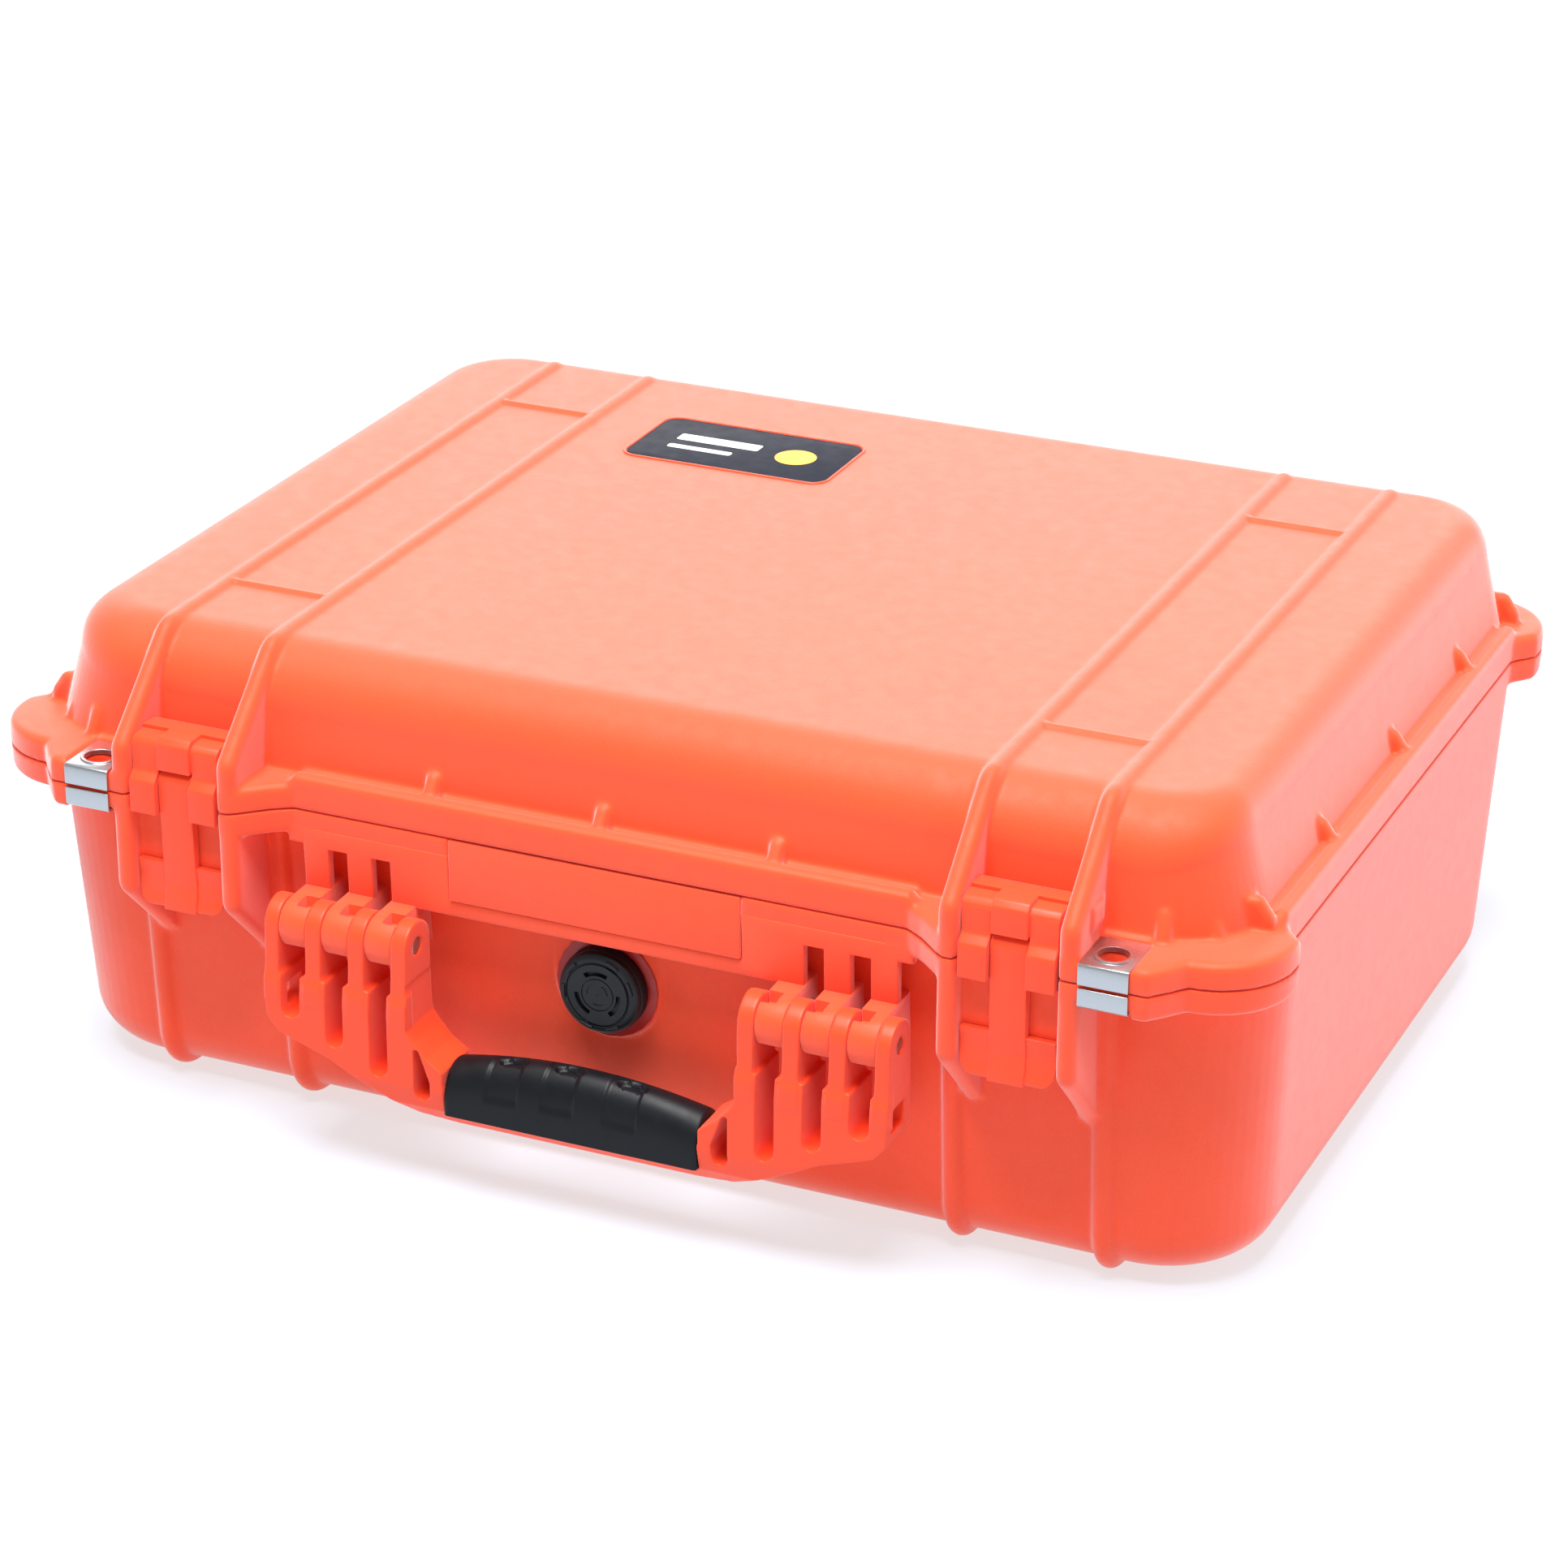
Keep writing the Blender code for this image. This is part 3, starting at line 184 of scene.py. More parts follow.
def rounded(points, radii, steps=6):
    """An outline with each corner replaced by an arc of its own radius; 0 keeps it sharp."""
    result = []
    for i, (u, v) in enumerate(points):
        radius = radii[i] if isinstance(radii, (list, tuple)) else radii
        if radius == 0:
            result.append((u, v))
            continue
        before = points[i - 1]
        after = points[(i + 1) % len(points)]
        a = math.atan2(before[1] - v, before[0] - u)
        b = math.atan2(after[1] - v, after[0] - u)
        half = (b - a) / 2
        while half > math.pi / 2:
            half -= math.pi
        while half < -math.pi / 2:
            half += math.pi
        reach = radius / math.sin(abs(half))
        middle = (u + reach * math.cos(a + half), v + reach * math.sin(a + half))
        swing = math.pi / 2 - abs(half)
        sign = 1 if half > 0 else -1
        towards = math.atan2(v - middle[1], u - middle[0])
        for k in range(steps + 1):
            angle = towards + sign * swing * (1 - 2 * k / steps)
            result.append((middle[0] + radius * math.cos(angle), middle[1] + radius * math.sin(angle)))
    return result


def bend(points, radii, steps=6):
    """An open line with its inner corners rounded."""
    return rounded(points, [0, *radii, 0], steps)


def edge_normal(a, b):
    """Unit normal to the right of the edge from a to b."""
    du = b[0] - a[0]
    dv = b[1] - a[1]
    length = math.hypot(du, dv) or 1.0
    return dv / length, -du / length


def shifted(outline, distance):
    """An outline moved outwards along its own normals. It runs anticlockwise."""
    count = len(outline)
    moved = []
    for i in range(count):
        n1 = edge_normal(outline[i - 1], outline[i])
        n2 = edge_normal(outline[i], outline[(i + 1) % count])
        spread = max(0.35, 1 + n1[0] * n2[0] + n1[1] * n2[1])
        u = outline[i][0] + distance * (n1[0] + n2[0]) / spread
        v = outline[i][1] + distance * (n1[1] + n2[1]) / spread
        moved.append((u, v))
    return moved


def offset_line(line, distance):
    """An open line moved to its left by a distance."""
    last = len(line) - 1
    moved = []
    for i, here in enumerate(line):
        n1 = edge_normal(line[max(i - 1, 0)], line[max(i, 1)])
        n2 = edge_normal(line[min(i, last - 1)], line[min(i + 1, last)])
        spread = 1 + n1[0] * n2[0] + n1[1] * n2[1]
        u = here[0] - distance * (n1[0] + n2[0]) / spread
        v = here[1] - distance * (n1[1] + n2[1]) / spread
        moved.append((u, v))
    return moved


def oblong(half_x, front, rear, corner, steps=14):
    """A rounded rectangle, anticlockwise from its front left corner."""
    corners = [(-half_x, -front), (half_x, -front), (half_x, rear), (-half_x, rear)]
    return rounded(corners, corner, steps)


def mirrored(xs, side):
    """An X range on the right (+1) or the left (-1)."""
    return tuple(sorted((side * xs[0], side * xs[1])))


def rod(name, axis, xs, radius, steps=32):
    """A round bar along X about an axis given as (y, z)."""
    return prism(name, circle(axis, radius, steps, math.pi / steps), "x", xs[0], xs[1])


def combine(target, tool, operation):
    """Change the target by an exact Boolean with the tool, and drop the tool."""
    step = target.modifiers.new("step", "BOOLEAN")
    step.operation = operation
    step.solver = "EXACT"
    step.object = tool
    settle(target)
    bpy.data.objects.remove(tool)
    return target


def cut(target, tool):
    """Take the tool's shape out of the target."""
    return combine(target, tool, "DIFFERENCE")


def settle(obj):
    """Apply every modifier of an object."""
    bpy.context.view_layer.update()
    seen = obj.evaluated_get(bpy.context.evaluated_depsgraph_get())
    result = bpy.data.meshes.new_from_object(seen)
    obj.modifiers.clear()
    obj.data = result
    result.name = obj.name
    return obj


def joined(name, parts):
    """Several closed forms as one object, which may overlap each other."""
    whole = bmesh.new()
    for part in parts:
        whole.from_mesh(part.data)
        bpy.data.objects.remove(part)
    mesh = bpy.data.meshes.new(name)
    whole.to_mesh(mesh)
    whole.free()
    obj = bpy.data.objects.new(name, mesh)
    bpy.context.scene.collection.objects.link(obj)
    return obj


def mould(name, parts, voxel, rounds, faces):
    """Fuse overlapping closed forms, soften all edges, and thin the mesh to about so many faces."""
    obj = joined(name, parts)
    remesh = obj.modifiers.new("fuse", "REMESH")
    remesh.mode = "VOXEL"
    remesh.voxel_size = voxel
    smooth = obj.modifiers.new("soften", "SMOOTH")
    smooth.factor = 0.5
    smooth.iterations = rounds
    settle(obj)
    count = len(obj.data.polygons)
    if count > faces:
        thin = obj.modifiers.new("thin", "DECIMATE")
        thin.ratio = faces / count / 2
        settle(obj)
    obj.data.shade_smooth()
    return obj


def shaded(obj, angle):
    """Shade a piece smooth, except across edges sharper than an angle in degrees."""
    obj.data.shade_smooth()
    obj.data.set_sharp_from_angle(angle=math.radians(angle))
    return obj


def bevelled(obj, width, segments=3, angle=30):
    """Round the edges of a plain piece."""
    edge = obj.modifiers.new("edge", "BEVEL")
    edge.width = width
    edge.segments = segments
    edge.limit_method = "ANGLE"
    edge.angle_limit = math.radians(angle)
    edge.harden_normals = False
    settle(obj)
    return shaded(obj, 40)


def place(obj, body, slot, material, *nodes):
    """Hang a finished piece on its body, with its finish and the CAD nodes that it stands for."""
    obj.data.materials.clear()
    obj.data.materials.append(material)
    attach(obj, body)
    if nodes:
        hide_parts(*nodes)
    return obj


# ---------------------------------------------------------------- shells


def flange_quarter(zone):
    """A quarter of the rim in plan, from the middle of its long side round to its short side."""
    line = [(0.1200, FLANGE_Y), (0.1263, 0.1830), (0.1384, zone), (0.2121, zone), (0.2175, 0.1880)]
    quarter = bend(line, [0.006, 0.006, 0.003], 5)
    quarter += arc(CORNER_CENTRE, CORNER_R, 88, -8, 24)
    return quarter + [(0.2485, 0.1450), (0.2455, 0.1415), (FLANGE_X, 0.1385)]


def flange_outline():
    """Plan outline of the rim, anticlockwise."""
    front = flange_quarter(ZONE_Y)
    rear = flange_quarter(REAR_ZONE_Y)
    right = [(x, -y) for x, y in front] + rear[::-1]
    left = [(-x, y) for x, y in rear] + [(-x, -y) for x, y in front[::-1]]
    return right + left


def drawn_in(outline, half_x, front, rear, corner):
    """Each point of an outline moved straight in onto a rounded rectangle."""
    moved = []
    for x, y in outline:
        cx = min(max(x, corner - half_x), half_x - corner)
        cy = min(max(y, corner - front), rear - corner)
        away = Vector((x - cx, y - cy)).normalized()
        moved.append((cx + corner * away.x, cy + corner * away.y))
    return moved


def rib(name, x, crown, root, steps=12):
    """A rib across X: its crown is half round, its root lies inside the wall."""
    rings = []
    radius = RIB_WIDTH / 2
    for i in range(steps + 1):
        angle = math.radians(-90 + 180 * i / steps)
        lowered = offset_line(crown, radius * (1 - math.cos(angle)))
        rings.append(in_space(lowered + root, "x", x + radius * math.sin(angle)))
    return loft(name, rings)


def base_wall(z):
    """Half width, front and rear distances of the base's outer wall at a height."""
    return WALL_X + DRAFT_X * z, WALL_FRONT + DRAFT_Y * z, WALL_REAR + DRAFT_Y * z


def base_tub():
    """The base's wall and floor, as one hollow form."""
    rings = []
    foot_steps = 14
    for i in range(foot_steps + 1):
        angle = math.pi / 2 * i / foot_steps
        inset = WALL_FOOT_R * (1 - math.sin(angle))
        z = FLOOR_SKIN_Z + WALL_FOOT_R * (1 - math.cos(angle))
        x, front, rear = base_wall(z)
        plan = oblong(x - inset, front - inset, rear - inset, WALL_CORNER_R - inset)
        rings.append(in_space(plan, "z", z))
    x, front, rear = base_wall(BASE_TOP)
    rings.append(in_space(oblong(x, front, rear, WALL_CORNER_R), "z", BASE_TOP))
    rings.append(in_space(oblong(0.2346, 0.1611, 0.1666, 0.0340), "z", BASE_TOP))
    floor = 0.0085
    foot = 0.0120
    inner_steps = 10
    for i in range(inner_steps, -1, -1):
        angle = math.pi / 2 * i / inner_steps
        inset = foot * (1 - math.sin(angle))
        z = floor + foot * (1 - math.cos(angle))
        plan = oblong(0.2320 - inset, 0.1560 - inset, 0.1615 - inset, 0.0340 - inset)
        rings.append(in_space(plan, "z", z))
    return loft("tub", rings)


def tub_line(inset, top):
    """The tub's outline seen from its side, front top to rear top, moved inwards."""
    front_top = base_wall(top)[1] - inset
    rear_top = base_wall(top)[2] - inset
    front_low = base_wall(0.0)[1] - inset
    rear_low = base_wall(0.0)[2] - inset
    low = FLOOR_SKIN_Z + inset
    radius = WALL_FOOT_R - inset
    line = [(-front_top, top), (-front_low, low), (rear_low, low), (rear_top, top)]
    return bend(line, [radius, radius], 8)


def base_ribs():
    """Latch guards, hinge guards and the rails that the case stands on."""
    parts = []
    front_guard = bend([(-ZONE_Y, BASE_TOP), (-ZONE_Y, 0.0940), (-0.1610, 0.0610)], [0.008])
    front_root = [(-0.1607, 0.0610), (-0.1657, BASE_TOP)]
    rear_guard = bend([(0.1660, 0.0610), (0.1975, 0.0940), (0.1975, 0.1246)], [0.008])
    rear_root = [(0.1706, 0.1246), (0.1660, 0.0610)]
    top = 0.1240
    crown = tub_line(-FOOT_PROUD, top)
    root = tub_line(0.0025, top)[::-1]
    for side in (-1, 1):
        for x in RIB_X:
            parts.append(rib("guard", side * x, front_guard, front_root))
            parts.append(rib("guard", side * x, rear_guard, rear_root))
        for x in FOOT_X:
            parts.append(rib("rail", side * x, crown, root))
    return parts


def flange_ring(name, levels, inner):
    """The rim as a hollow form from (height, how far out) levels and its inner rounded rectangle."""
    outline = flange_outline()
    rings = [in_space(shifted(outline, out), "z", z) for z, out in levels]
    inside = drawn_in(outline, *inner)
    rings.append(in_space(inside, "z", levels[-1][0]))
    rings.append(in_space(inside, "z", levels[0][0]))
    return loft(name, rings, closed=True)


def padlock_cut(target, side):
    """The hole for a padlock's shackle through a bulged corner of the rim."""
    hole = (side * PADLOCK_HOLE[0], PADLOCK_HOLE[1])
    return cut(target, prism("hole", circle(hole, PADLOCK_R + GAP, 32), "z", 0.1100, 0.1600))


def base_flange():
    """Rim of the base with its pockets and holes."""
    levels = [(FLANGE_LOW, -0.0030), (FLANGE_LOW + 0.0006, -0.0014)]
    levels += [(FLANGE_LOW + 0.0018, -0.0005), (BASE_TOP, 0.0)]
    ring = flange_ring("rim", levels, (0.2388, 0.1650, 0.1706, 0.0380))
    for side in (-1, 1):
        pocket = mirrored(WIDE_POCKET, side)
        cut(ring, block("pocket", pocket, (PAST_FRONT, -LATCH_PLATE_Y + 0.0005), (0.1100, 0.1500)))
        hinge = mirrored((RIB_INNER_FACE - GAP, RIB_OUTER_FACE + GAP), side)
        cut(ring, block("pocket", hinge, (0.1765, PAST_REAR), (0.1250, 0.1500)))
        seat = mirrored((RIB_OUTER_FACE - 0.0010, PLATE_X[1] + GAP), side)
        cut(ring, block("seat", seat, (PAST_FRONT, -PLATE_FRONT), (0.1100, 0.1500)))
        cut(ring, block("seat_low", seat, (PAST_FRONT, -0.1731), (0.1100, LUG_LOW)))
        padlock_cut(ring, side)
    cut(ring, nameplate_space())
    return ring


def nameplate_space():
    """The recess that the blank plate lies in."""
    half = NAMEPLATE_HALF + 0.0005
    return block("recess", (-half, half), (PAST_FRONT, -0.1768), (NAMEPLATE_LOW - 0.0005, 0.1400))


def apron(material):
    """The apron under the front rim, slotted above the handle fingers."""
    face = [(-0.1787, 0.1260), (-0.1776, 0.1020), (-0.1738, 0.1020), (-0.1745, 0.1260)]
    skirt = prism("apron", face, "x", -0.1165, 0.1165)
    for side in (-1, 1):
        for xs in ((0.0812, 0.0888), (0.0988, 0.1065)):
            cut(skirt, block("slot", mirrored(xs, side), (-0.1850, -0.1700), (0.0900, 0.1187)))
    cut(skirt, nameplate_space())
    place(bevelled(skirt, 0.0005, 3, 40), "case", "base_plastic", material)


def apron_backing():
    """What the apron hangs from: a wall behind the blank plate and a short wing beside each end."""
    wing = [(-0.1787, 0.1260), (-0.1784, 0.1195), (-0.1745, 0.1195), (-0.1750, 0.1260)]
    wings = [prism("wing", wing, "x", *mirrored((0.1120, 0.1225), side)) for side in (-1, 1)]
    return [block("backing", (-0.0620, 0.0620), (-0.1768, -0.1738), (0.1040, 0.1280)), *wings]


def latch_plates():
    """The flat plate behind each latch, from the parting line to below the lever."""
    parts = []
    front = -LATCH_PLATE_Y
    back = front + 0.0040
    face = [(front, BASE_TOP), (front, 0.0960), (back, 0.0960)]
    face += [(back, 0.1250), (-0.1650, 0.1250), (-0.1650, BASE_TOP)]
    for side in (-1, 1):
        parts.append(prism("plate", face, "x", *mirrored(WIDE_POCKET, side)))
    return parts


def handle_knuckles(material):
    """Arms from the front wall that end in the barrels of the handle pins, each notched on top."""
    y, z = HANDLE_AXIS
    arm = arc(HANDLE_AXIS, 0.0090, 100, 285, 32)
    arm += [(-0.1650, 0.0850), (-0.1650, 0.1033), (-0.1880, 0.1026)]
    for side, word in ((-1, "left"), (1, "right")):
        for k, xs in enumerate(KNUCKLES):
            knuckle = prism(f"knuckle_{word}_{k}", arm, "x", *mirrored(xs, side))
            notch = mirrored((xs[0] - 0.0010, xs[0] + 0.0057), side)
            cut(knuckle, block("notch", notch, (y - 0.0036, y + 0.0038), (z + 0.0045, z + 0.0200)))
            hole = mirrored((xs[0] - 0.001, xs[1] + 0.001), side)
            cut(knuckle, rod("bore", HANDLE_AXIS, hole, HANDLE_PIN_R + GAP))
            place(bevelled(knuckle, 0.0005, 3, 40), "case", "base_plastic", material)


def hinge_lugs():
    """Two lugs for each hinge, between the ribs of the lid."""
    y = HINGE_AXIS[0]
    parts = []
    profile = arc(HINGE_AXIS, 0.0075, 0, 180, 20)
    profile += [(y - 0.0075, 0.1240), (0.1700, 0.1200), (0.1700, 0.0960)]
    profile += [(0.1880, 0.1060), (y + 0.0075, 0.1180)]
    inner = POCKET[0] + GAP
    outer = POCKET[1] - GAP
    for side in (-1, 1):
        for xs in ((inner, inner + 0.0100), (outer - 0.0100, outer)):
            parts.append(prism("lug", profile, "x", *mirrored(xs, side)))
    return parts


def valve_pad():
    """The raised pad that the valve seats on."""
    outline = [(0.0210, 0.1200), (-0.0210, 0.1200)]
    outline += arc((0.0, VALVE_Z), 0.0210, 180, 360, 32)
    return prism("valve_pad", outline, "y", -0.1668, -0.1620)


def seal_bead(name, half, low, high):
    """A closed bar of square section along the seal's route, from its half width and its heights."""
    half_x, front, rear, corner = SEAL_LOOP
    outer = oblong(half_x + half, front + half, rear + half, corner + half)
    inner = oblong(half_x - half, front - half, rear - half, corner - half)
    rings = [in_space(inner, "z", low), in_space(outer, "z", low)]
    rings += [in_space(outer, "z", high), in_space(inner, "z", high)]
    return loft(name, rings, closed=True)


def seal_tongue(material):
    """The bead on the base's rim that presses into the seal."""
    tongue = seal_bead("seal_tongue", 0.0011, 0.1305, 0.1337)
    place(bevelled(tongue, 0.0004, 2, 40), "case", "base_plastic", material)


def base_shell(material):
    """The base moulding: tub, rim, guards, rails, latch plates and lugs."""
    parts = [base_tub(), base_flange(), *base_ribs(), *apron_backing(), *latch_plates()]
    parts += [*hinge_lugs(), valve_pad()]
    shell = mould("base_moulding", parts, 0.0009, 4, 190_000)
    return place(shell, "case", "base_plastic", material, "base_shell")


def dome_ring(half_x, front, rear, corner, z_front, z_side, z_rear, steps=14):
    """A rounded rectangle whose four sides may lie at different heights."""
    flat = oblong(half_x, front, rear, corner, steps)
    heights = []
    for start, end in ((z_side, z_front), (z_front, z_side), (z_side, z_rear), (z_rear, z_side)):
        for k in range(steps + 1):
            share = k / steps
            heights.append(start + (end - start) * share * share * (3 - 2 * share))
    return [(x, y, z) for (x, y), z in zip(flat, heights)]


EDGE_FRONT = 0.0230
EDGE_SIDE = 0.0140
EDGE_REAR = 0.0120


def dome_rings(skin, steps=16):
    """Rings of the dome from the top of its wall to its top, moved in by the skin."""
    rings = []
    top = LID_TOP_Z - skin
    for i in range(steps + 1):
        angle = math.pi / 2 * i / steps
        inward = 1 - math.cos(angle)
        drop = 1 - math.sin(angle)
        rings.append(
            dome_ring(
                0.2284 - skin - EDGE_SIDE * inward,
                0.1665 - skin - EDGE_FRONT * inward,
                0.1745 - skin - EDGE_REAR * inward,
                0.0320 - skin - 0.0120 * inward,
                top - EDGE_FRONT * drop,
                top - EDGE_SIDE * drop,
                top - EDGE_REAR * drop,
            )
        )
    return rings


def lid_dome():
    """The lid's dome with its inside, as one hollow form."""
    outer = dome_rings(0.0)[::-1]
    outer.append(in_space(oblong(0.2350, 0.1687, 0.1755, 0.0335), "z", 0.1455))
    outer.append(in_space(oblong(0.2362, 0.1697, 0.1760, 0.0342), "z", 0.1400))
    inner = [in_space(oblong(0.2310, 0.1600, 0.1664, 0.0330), "z", 0.1400)]
    crown_steps = 12
    crown_r = 0.0140
    for i in range(crown_steps + 1):
        angle = math.pi / 2 * i / crown_steps
        inset = crown_r * (1 - math.cos(angle))
        z = 0.1672 + crown_r * math.sin(angle)
        plan = oblong(0.2236 - inset, 0.1560 - inset, 0.1660 - inset, 0.0300 - 0.6 * inset)
        inner.append(in_space(plan, "z", z))
    return loft("dome", outer + inner)


def lid_flange():
    """Rim of the lid, its top edge rounded, with its pockets, holes and seal groove."""
    levels = [(LID_BOTTOM, 0.0), (FLANGE_TOP - 0.0030, 0.0)]
    for angle in (20, 40, 60, 90):
        turn = math.radians(angle)
        levels.append((FLANGE_TOP - 0.0030 * (1 - math.sin(turn)), -0.0030 * (1 - math.cos(turn))))
    ring = flange_ring("rim", levels, (0.2318, 0.1603, 0.1665, 0.0330))
    for side in (-1, 1):
        pocket = mirrored(WIDE_POCKET, side)
        cut(ring, block("pocket", pocket, (PAST_FRONT, -0.1705), (0.1200, 0.1700)))
        hinge = mirrored((RIB_INNER_FACE + 0.0010, RIB_OUTER_FACE - 0.0010), side)
        cut(ring, block("pocket", hinge, (0.1765, PAST_REAR), (0.1200, 0.1700)))
        seat = mirrored((RIB_OUTER_FACE - 0.0010, PLATE_X[1] + GAP), side)
        cut(ring, block("front", seat, (PAST_FRONT, -PLATE_FRONT), (0.1200, 0.1500)))
        cut(ring, block("top", seat, (PAST_FRONT, -0.1713), (PLATE_SEAT_Z, 0.1500)))
        padlock_cut(ring, side)
    return cut(ring, seal_bead("groove", 0.0023, 0.1300, 0.1384))


def ledge_section(outer, inner, top, lip):
    """Section of the raised ledge: a lip along the outside and a shallow gutter behind it."""
    low = LID_BOTTOM + 0.0010
    section = [(inner, low), (outer, low)]
    section += [(outer, top - 0.0024), (outer - 0.0007, top - 0.0007), (outer - 0.0024, top)]
    section += [(outer - lip, top), (outer - lip - 0.0012, top - 0.0016), (inner, top - 0.0016)]
    return section


def ledges():
    """Raised ledges on the four straight sides, sloping down at their ends."""
    parts = []
    for side in (-1, 1):
        rings = []
        for y, top in ((-0.1500, 0.1405), (-0.1400, LEDGE_TOP), (0.1400, LEDGE_TOP), (0.1500, 0.1405)):
            rings.append([(side * x, y, z) for x, z in ledge_section(FLANGE_X, 0.2330, top, 0.0042)])
        parts.append(loft("side_ledge", rings))
        rings = []
        for x, top in ((-0.1255, 0.1405), (-0.1195, 0.1460), (0.1195, 0.1460), (0.1255, 0.1405)):
            rings.append([(x, side * y, z) for y, z in ledge_section(FLANGE_Y, 0.1660, top, 0.0052)])
        parts.append(loft("end_ledge", rings))
    return parts


def dome_line(skin):
    """The dome's outline seen from its side, front foot to rear foot, moved inwards."""
    line = [(-0.1697 + skin, LID_BOTTOM), (-0.1687 + skin, 0.1455)]
    for i in range(9):
        angle = math.pi / 2 * i / 8
        y = 0.1665 - skin - EDGE_FRONT * (1 - math.cos(angle))
        line.append((-y, LID_TOP_Z - skin - EDGE_FRONT * (1 - math.sin(angle))))
    for i in range(8, -1, -1):
        angle = math.pi / 2 * i / 8
        y = 0.1745 - skin - EDGE_REAR * (1 - math.cos(angle))
        line.append((y, LID_TOP_Z - skin - EDGE_REAR * (1 - math.sin(angle))))
    line.append((0.1755 - skin, 0.1455))
    return line


def lid_rib(x):
    """A rib over the lid: down to the parting line in front, round the hinge pin behind."""
    y, z = HINGE_AXIS
    barrel = arc(HINGE_AXIS, 0.0080, 0, -175, 20)[::-1]
    crown = [(-ZONE_Y, LID_BOTTOM), (-ZONE_Y, 0.1515), (-0.1560, RIB_TOP_Z), (0.1640, RIB_TOP_Z)]
    crown += [(y + 0.0080, 0.1500), (y + 0.0080, z)]
    crown = bend(crown, [0.007, 0.012, 0.010, 0.007], 8)
    crown = barrel + crown[::-1][1:]
    root = dome_line(0.0025) + [(0.1700, 0.1375)]
    return rib("lid_rib", x, crown, root)


def gusset(x, y, angle, foot_z, height):
    """A small web from the rim up the foot of the dome, facing out at an angle in degrees."""
    outline = [(-0.0030, foot_z - 0.0030), (0.0066, foot_z - 0.0030), (0.0068, foot_z)]
    outline += [(0.0060, foot_z + 0.0018), (0.0022, foot_z + height - 0.0008)]
    outline += [(0.0004, foot_z + height), (-0.0030, foot_z + height)]
    turn = math.radians(angle)
    slices = ((-0.0030, 0.0018), (-0.0021, 0.0005), (0.0, 0.0), (0.0021, 0.0005), (0.0030, 0.0018))
    rings = []
    for across, slim in slices:
        ring = []
        for out, z in outline:
            px = x + (out - slim) * math.cos(turn) - across * math.sin(turn)
            py = y + (out - slim) * math.sin(turn) + across * math.cos(turn)
            ring.append((px, py, z - slim))
        rings.append(ring)
    return loft("gusset", rings)


def gussets():
    """Webs all round the foot of the dome."""
    parts = []
    for x in (-0.0672, 0.0, 0.0672):
        parts.append(gusset(x, -0.1683, -90, 0.1450, 0.0080))
        parts.append(gusset(x, 0.1752, 90, 0.1450, 0.0080))
    for side in (-1, 1):
        facing = 0 if side > 0 else 180
        for y in (-0.1455, -0.0765, 0.0087, 0.0925, 0.1560):
            parts.append(gusset(side * 0.2340, y, facing, 0.1462, 0.0080))
        parts.append(gusset(side * 0.2215, -0.1560, -45 if side > 0 else -135, 0.1430, 0.0105))
        parts.append(gusset(side * 0.2080, -0.1655, -75 if side > 0 else -105, 0.1430, 0.0105))
    return parts


def cross_bars():
    """Low bars that join the ribs of each pair on top of the lid."""
    parts = []
    for side in (-1, 1):
        for end in (-1, 1):
            y = end * CROSS_BAR_Y
            section = arc((y, LID_TOP_Z + 0.0002), 0.0014, 0, 180, 10)
            section += [(y - 0.0016, LID_TOP_Z - 0.0020), (y + 0.0016, LID_TOP_Z - 0.0020)]
            xs = mirrored((POCKET[0] - 0.0015, POCKET[1] + 0.0015), side)
            parts.append(prism("bar", section, "x", *xs))
    return parts


def badge_outline(grow, steps=8):
    """The badge's rounded rectangle in plan, grown all round."""
    half_x = BADGE_SIZE[0] / 2 + grow
    half_y = BADGE_SIZE[1] / 2 + grow
    flat = oblong(half_x, half_y, half_y, BADGE_CORNER_R + grow, steps)
    return [(x + BADGE_CENTRE[0], y + BADGE_CENTRE[1]) for x, y in flat]


def lid_shell(material):
    """The lid moulding: dome, rim, ledges, ribs and webs."""
    parts = [lid_dome(), lid_flange(), *ledges(), *gussets(), *cross_bars()]
    for side in (-1, 1):
        for x in RIB_X:
            parts.append(lid_rib(side * x))
        parts.append(hook_boss(side))
    shell = mould("lid_moulding", parts, 0.0009, 4, 190_000)
    return place(shell, "lid", "lid_plastic", material, "lid_shell")


def hook_boss(side):
    """The square pad round the end of the latch pin, on the outer rib."""
    xs = mirrored((RIB_OUTER_FACE - 0.002, RIB_OUTER_FACE + 0.0011), side)
    return block("boss", xs, (-0.1815, -0.1710), (0.1475, 0.1556))


def badge_rim(material):
    """The raised rim round the badge."""
    section = ((0.0014, -0.0010), (0.0014, 0.0002), (0.0010, 0.0006))
    section += ((0.0004, 0.0006), (0.0001, 0.0003), (0.0001, -0.0010))
    rings = [in_space(badge_outline(grow), "z", LID_TOP_Z + rise) for grow, rise in section]
    rim = shaded(loft("badge_rim", rings, closed=True), 50)
    return place(rim, "lid", "lid_plastic", material)


# ---------------------------------------------------------------- fittings


def from_cad(name, node):
    """A clean copy of a CAD node's shape to work on."""
    shape = bmesh.new()
    shape.from_mesh(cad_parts[node].data)
    bmesh.ops.remove_doubles(shape, verts=shape.verts, dist=1e-6)
    bmesh.ops.dissolve_limit(shape, angle_limit=math.radians(0.5), verts=shape.verts, edges=shape.edges)
    mesh = bpy.data.meshes.new(name)
    shape.to_mesh(mesh)
    shape.free()
    obj = bpy.data.objects.new(name, mesh)
    bpy.context.scene.collection.objects.link(obj)
    return obj


